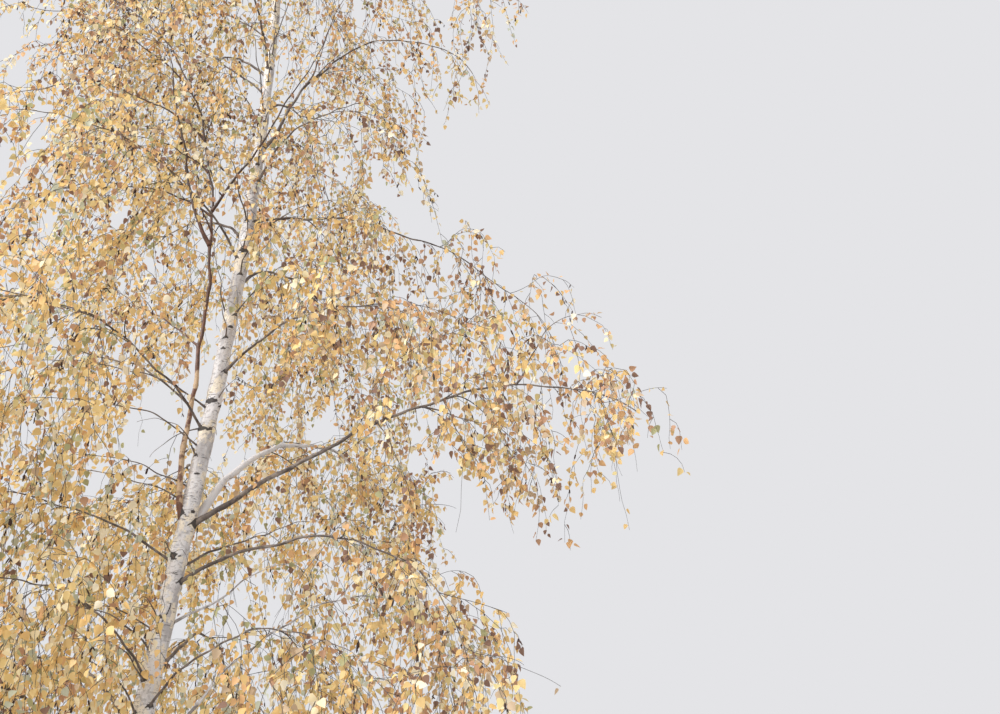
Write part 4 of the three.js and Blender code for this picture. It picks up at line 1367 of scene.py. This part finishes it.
def leaf_mesh():
    """A birch leaf along +Y from its stalk's foot: two half blades folded on the midrib."""
    sizes = bpy.context.scene.birch_sizes
    long, wide, stalk = sizes.leaf_length, sizes.leaf_width, sizes.leaf_stalk
    ahead, lift = LEAF_MIDDLE
    points = [
        (-STALK_WIDTH / 2, 0, 0),
        (STALK_WIDTH / 2, 0, 0),
        (0, stalk, 0),
        (0, stalk + ahead * long, lift * long),
        (0, stalk + long, -LEAF_DROOP * long),
    ]
    base, middle, tip = 2, 3, 4
    faces = [(0, 1, base)]
    for way in (1, -1):
        first = len(points)
        for across, along in LEAF_OUTLINE:
            rise = 2 * across * LEAF_FOLD * wide - LEAF_DROOP * long * along ** 2
            points.append((way * across * wide, stalk + along * long, rise))
        edge = [base] + list(range(first, first + len(LEAF_OUTLINE))) + [tip]
        for a, b in zip(edge, edge[1:]):
            faces.append((middle, a, b) if way == 1 else (middle, b, a))
    return mesh_of("Leaf", points, faces=faces)


CATKIN_SIDES = 4
CATKIN_SHAPE = ((0, 0.05), (0.2, 0.145), (0.75, 0.145), (1, 0.04))  # along and radius
CATKIN_SPREAD = (0.7, 1.15)  # least and greatest of the catkins' sizes


def catkin_mesh():
    """A dry catkin along +Y: a spindle a little thicker in the middle."""
    long = bpy.context.scene.birch_sizes.catkin_length
    points, faces = [], []
    for along, radius in CATKIN_SHAPE:
        for k in range(CATKIN_SIDES):
            turn = 2 * math.pi * k / CATKIN_SIDES
            points.append((radius * long * math.sin(turn), along * long, radius * long * math.cos(turn)))
    for i in range(len(CATKIN_SHAPE) - 1):
        for k in range(CATKIN_SIDES):
            a, b = i * CATKIN_SIDES + k, i * CATKIN_SIDES + (k + 1) % CATKIN_SIDES
            faces.append((a, b, b + CATKIN_SIDES, a + CATKIN_SIDES))
    last = (len(CATKIN_SHAPE) - 1) * CATKIN_SIDES
    faces.append(tuple(reversed(range(CATKIN_SIDES))))
    faces.append(tuple(range(last, last + CATKIN_SIDES)))
    return mesh_of("Catkin", points, faces=faces)


# Stage

FLOOR_RADIUS = 60
FLOOR_SIDES = 64
FLOOR_GREY = "#B5B4B3"
SKY_GREY = "#E4E4E7"
SKY_STRENGTH = 1.0
CLIP_END = 200  # how far the camera sees
# Turns in degrees. The second light is a broad, low one from the front, as a bright cloud gives.
Light = namedtuple("Light", "name strength width turn")
LIGHTS = (
    Light("Veiled sun", 4.1, 25, (57, -12, -44)),
    Light("Bright cloud", 1.4, 70, (74, 0, -20)),
)


class BIRCH_OT_stage(Operator):
    """Pale floor, soft light and the photographer's camera"""
    bl_idname = "birch.stage"
    bl_label = "Stage"

    def execute(self, context):
        scene = context.scene
        angle = np.arange(FLOOR_SIDES) / FLOOR_SIDES * 2 * math.pi
        rim = np.stack([np.cos(angle), np.sin(angle), 0 * angle], -1) * FLOOR_RADIUS
        ground = mesh_of("Floor", rim.tolist(), faces=[range(FLOOR_SIDES)])
        # Matt painted studio floor: rolled paint leaves a barely grained, even grey
        ground.materials.append(plain_material("Floor paint", linear(FLOOR_GREY), FLOOR_FINISH))
        floor = bpy.data.objects.new("Floor", ground)
        scene.collection.objects.link(floor)

        world = bpy.data.worlds.new("Overcast sky")
        world.use_nodes = True
        world.node_tree.nodes.clear()
        sky = add(world.node_tree, "ShaderNodeBackground", None,
                  {"Color": (*linear(SKY_GREY), 1), "Strength": SKY_STRENGTH})
        add(world.node_tree, "ShaderNodeOutputWorld", None, {"Surface": sky.outputs[0]})
        scene.world = world

        for light in LIGHTS:
            lamp = bpy.data.lights.new(light.name, "SUN")
            lamp.energy = light.strength
            lamp.angle = math.radians(light.width)
            stand = bpy.data.objects.new(light.name, lamp)
            stand.rotation_euler = [math.radians(turn) for turn in light.turn]
            scene.collection.objects.link(stand)

        lens = bpy.data.cameras.new("Photographer")
        lens.lens = LENS_MM
        lens.sensor_width = SENSOR_MM
        lens.clip_end = CLIP_END
        camera = bpy.data.objects.new("Photographer", lens)
        camera.location = EYE
        camera.rotation_euler = (math.radians(90 + EYE_PITCH), 0, 0)
        scene.collection.objects.link(camera)
        scene.camera = camera
        scene.view_settings.view_transform = "Standard"
        return {"FINISHED"}


# Pieces

TRUNK_LAYERS = (
    Layer("bark_grey", 7, 3, 0.45, 0.6, 0.72),
    Layer("bark_cream", 9, 7, 0.52, 0.58, 0.85, -0.0012),
    Layer("bark_grey", 50, 60, 0.53, 0.62, 0.6, 0.0004),
    Layer("bark_black", 14, 150, 0.6, 0.65, 0.75, -0.0008),
    Layer("bark_black", 9, 55, 0.64, 0.68, 0.8, -0.001),
    Layer("bark_black", 90, 60, 0.68, 0.73, 0.6),
    Layer("bark_black", 55, 14, 0.95, 1.15, 0.9, -0.002, "old"),
    Layer("bark_black", 110, 110, 0.8, 1.0, 0.95, 0.0006, "scar"),
)
STEM_LAYERS = (
    Layer("bark_black", 30, 12, 0.4, 0.62, 0.6),
    Layer("bark_black", 20, 8, 0.75, 1.05, 0.7, 0.0, "dark"),
    Layer("stem_gold", 24, 12, 1.0, 1.1, 0.85, -0.0006, "peel"),
    Layer("bark_black", 25, 260, 0.62, 0.68, 0.7, 0.0004),
)
BOUGH_LAYERS = (
    Layer("bough_pale", 14, 5, 0.42, 0.6, 0.66, 0.0006),
    Layer("bark_black", 30, 25, 0.5, 0.66, 0.55, -0.0006),
    Layer("bough_pale", 40, 230, 0.64, 0.7, 0.7, 0.0004),
    Layer("bark_white", 25, 12, 0.95, 1.3, 0.95, 0.0, "pale"),
    Layer("bark_black", 14, 120, 0.64, 0.7, 0.7, -0.0004),
)
STEM_BARK = LimbBark(0.014, 24, 0.07, 0.3)
STEM_PEEL = (3.55, 4.9)  # heights between which the second stem peels
PEEL_SET_IN = 0.1  # metres over which that sets in at the lower end, and at the upper one
PEEL_DIE_OUT = 0.3
PEEL_ADDED = 0.57  # what the peeling adds to its layer's pattern
STEM_DARK = (5.2, 6.2)  # heights between which its bark turns dark
DARK_ADDED = 0.5
BOUGH_BARK = LimbBark(0.022, 12, 0.08, 0.22)
BRANCH_SIDES = 5
TWIG_SIDES = 3
TWIG_TAPER = 0.5  # part of its thickness that a twig loses to its end


def stem_marks(limb, points):
    """Where the second stem's bark peels, and where it is dark."""
    height = points[:, 2]
    low, high = STEM_PEEL
    peel = ramp(height, low, low + PEEL_SET_IN) * ramp(height, high, high - PEEL_DIE_OUT)
    return {"peel": PEEL_ADDED * peel, "dark": DARK_ADDED * ramp(height, *STEM_DARK)}


def bough_marks(limb, points):
    """How pale a bough's bark is all along it."""
    return {"pale": np.full(len(points), PALE_BOUGHS.get(limb.name, 0.0))}


class BIRCH_OT_trunk(Operator):
    """Trunk with white bark, scars and branch collars"""
    bl_idname = "birch.trunk"
    bl_label = "Trunk"

    def execute(self, context):
        # Silver birch bark: a papery skin grown in layers round the stem. It is matt white and
        # grey, peels in bands down to cream, and is crossed by dark level pores and scars.
        material = bark_material("White birch bark", "bark_white", TRUNK_LAYERS, roughness=0.72)
        piece("trunk_bark", bark_mesh("trunk_bark", [trunk_part()], material), ["trunk"])
        return {"FINISHED"}


class BIRCH_OT_second_stem(Operator):
    """Second stem with brown, peeling bark"""
    bl_idname = "birch.second_stem"
    bl_label = "Second stem"

    def execute(self, context):
        # Young birch bark: a thin skin, reddish brown with a slight sheen, that splits off in
        # golden curls where the stem has thickened.
        material = bark_material("Brown birch bark", "stem_brown", STEM_LAYERS, roughness=0.5)
        limbs = [STEM] + [limb for limb in OFFSHOOTS if limb.on == STEM.name]
        parts = [limb_part(limb, STEM_BARK, stem_marks) for limb in limbs]
        piece("second_stem_bark", bark_mesh("second_stem_bark", parts, material),
              [STEM.name])
        return {"FINISHED"}


class BIRCH_OT_boughs(Operator):
    """Boughs, a piece for each level of the crown"""
    bl_idname = "birch.boughs"
    bl_label = "Boughs"

    def execute(self, context):
        # Bough bark: rough and dull grey brown, nearly black in its cracks and below, with pale
        # pores across it; a few of the boughs are still covered in pale smooth bark.
        material = bark_material("Bough bark", "bough_dark", BOUGH_LAYERS, roughness=0.8)
        for level in LEVELS:
            limbs = [limb for limb in BOUGHS if limb.level == level]
            side = [limb for limb in OFFSHOOTS if limb.level == level and limb.on != STEM.name]
            parts = [limb_part(limb, BOUGH_BARK, bough_marks) for limb in limbs + side]
            name = f"boughs_{level}"
            piece(name, bark_mesh(name, parts, material),
                  [f"bough_{limb.name}" for limb in limbs])
        return {"FINISHED"}


class BIRCH_OT_branches(Operator):
    """Branches that fill the foliage masses"""
    bl_idname = "birch.branches"
    bl_label = "Branches"

    def execute(self, context):
        # Birch branch wood with its bark on: grown round and dull, dark brown to the eye
        material = plain_material("Branch bark", context.scene.birch_colours.twig, BRANCH_FINISH)
        woods = [wood for made in growth().values() for wood in made.branches]
        mesh = evaluated("branches", lines_mesh("branch_lines", woods), lines_group(),
                         {"Sides": BRANCH_SIDES, "Material": material})
        piece("branches", mesh, foliage_nodes())
        return {"FINISHED"}


class BIRCH_OT_twigs(Operator):
    """Thin hanging twigs, a piece for each level of the crown"""
    bl_idname = "birch.twigs"
    bl_label = "Hanging twigs"

    def execute(self, context):
        sizes = context.scene.birch_sizes
        # Birch twigs: whip-thin and slightly glossy, dark grey brown against the sky
        material = plain_material("Twig bark", context.scene.birch_colours.twig, TWIG_FINISH)
        tree = lines_group()
        for level, made in growth().items():
            woods = []
            for line in made.twigs:
                part = np.linspace(0, 1, len(line))
                woods.append(Wood(line, sizes.twig_width / 2 * (1 - TWIG_TAPER * part)))
            name = f"twigs_{level}"
            mesh = evaluated(name, lines_mesh("twig_lines", woods), tree,
                             {"Sides": TWIG_SIDES, "Material": material})
            piece(name, mesh, foliage_nodes())
        return {"FINISHED"}


class BIRCH_OT_leaves(Operator):
    """Leaves, a piece for each autumn tint"""
    bl_idname = "birch.leaves"
    bl_label = "Leaves"

    def execute(self, context):
        sizes, colours = context.scene.birch_sizes, context.scene.birch_colours
        leaf = bpy.data.objects.new("Leaf", leaf_mesh())
        tree = sprigs_group()
        points, turns, scales, tints = joined("leaves")
        least, greatest = LEAF_SPREAD
        for number, tint in enumerate(TINTS):
            # Birch leaf in autumn: thin and dry with a dull waxy skin, one even tint a spray. It
            # lets some of the light from behind through.
            # the pale and cream tints are partly painted light: leaves lit through from behind, and
            # highlights
            shade = getattr(colours, f"leaf_{tint.name}")
            material = plain_material(f"Leaf {tint.label.lower()}", shade, LEAF_FINISH)
            mine = tints == number
            name = f"leaves_{tint.name}"
            mesh = points_mesh("leaf_points", points[mine], turns[mine], scales[mine])
            mesh = evaluated(name, mesh, tree,
                             {"Sprig": leaf, "Least Size": least, "Greatest Size": greatest,
                              "Seed": sizes.seed + number, "Material": material})
            piece(name, mesh, foliage_nodes())
        bpy.data.objects.remove(leaf)
        return {"FINISHED"}


class BIRCH_OT_catkins(Operator):
    """Dry catkins that hang among the leaves"""
    bl_idname = "birch.catkins"
    bl_label = "Catkins"

    def execute(self, context):
        # Dry birch catkins: scales packed on a thread, dull and nearly black against the sky
        material = plain_material("Dry catkin", context.scene.birch_colours.catkin, CATKIN_FINISH)
        catkin = bpy.data.objects.new("Catkin", catkin_mesh())
        points, turns, scales, _ = joined("catkins")
        least, greatest = CATKIN_SPREAD
        mesh = evaluated("catkins", points_mesh("catkin_points", points, turns, scales), sprigs_group(),
                         {"Sprig": catkin, "Least Size": least, "Greatest Size": greatest,
                          "Seed": context.scene.birch_sizes.seed, "Material": material})
        piece("catkins", mesh, foliage_nodes())
        bpy.data.objects.remove(catkin)
        return {"FINISHED"}


OPERATORS = (BIRCH_OT_stage, BIRCH_OT_trunk, BIRCH_OT_second_stem, BIRCH_OT_boughs,
             BIRCH_OT_branches, BIRCH_OT_twigs, BIRCH_OT_leaves, BIRCH_OT_catkins)


class BIRCH_PT_panel(Panel):
    bl_label = "Weeping white birch"
    bl_idname = "BIRCH_PT_panel"
    bl_space_type = "VIEW_3D"
    bl_region_type = "UI"
    bl_category = "Birch"

    def draw(self, context):
        for operator in OPERATORS:
            self.layout.operator(operator.bl_idname)
        for group in (context.scene.birch_sizes, context.scene.birch_colours):
            for key in group.__annotations__:
                self.layout.prop(group, key)


CLASSES = (BirchSizes, BirchColours) + OPERATORS + (BIRCH_PT_panel,)


def register():
    for cls in CLASSES:
        bpy.utils.register_class(cls)
    bpy.types.Scene.birch_sizes = PointerProperty(type=BirchSizes)
    bpy.types.Scene.birch_colours = PointerProperty(type=BirchColours)


def unregister():
    del bpy.types.Scene.birch_colours
    del bpy.types.Scene.birch_sizes
    for cls in reversed(CLASSES):
        bpy.utils.unregister_class(cls)


def main():
    register()
    for operator in OPERATORS:
        group, name = operator.bl_idname.split(".")
        if getattr(getattr(bpy.ops, group), name)() != {"FINISHED"}:
            raise RuntimeError(f"{operator.bl_label} did not finish")


if __name__ == "__main__":
    main()
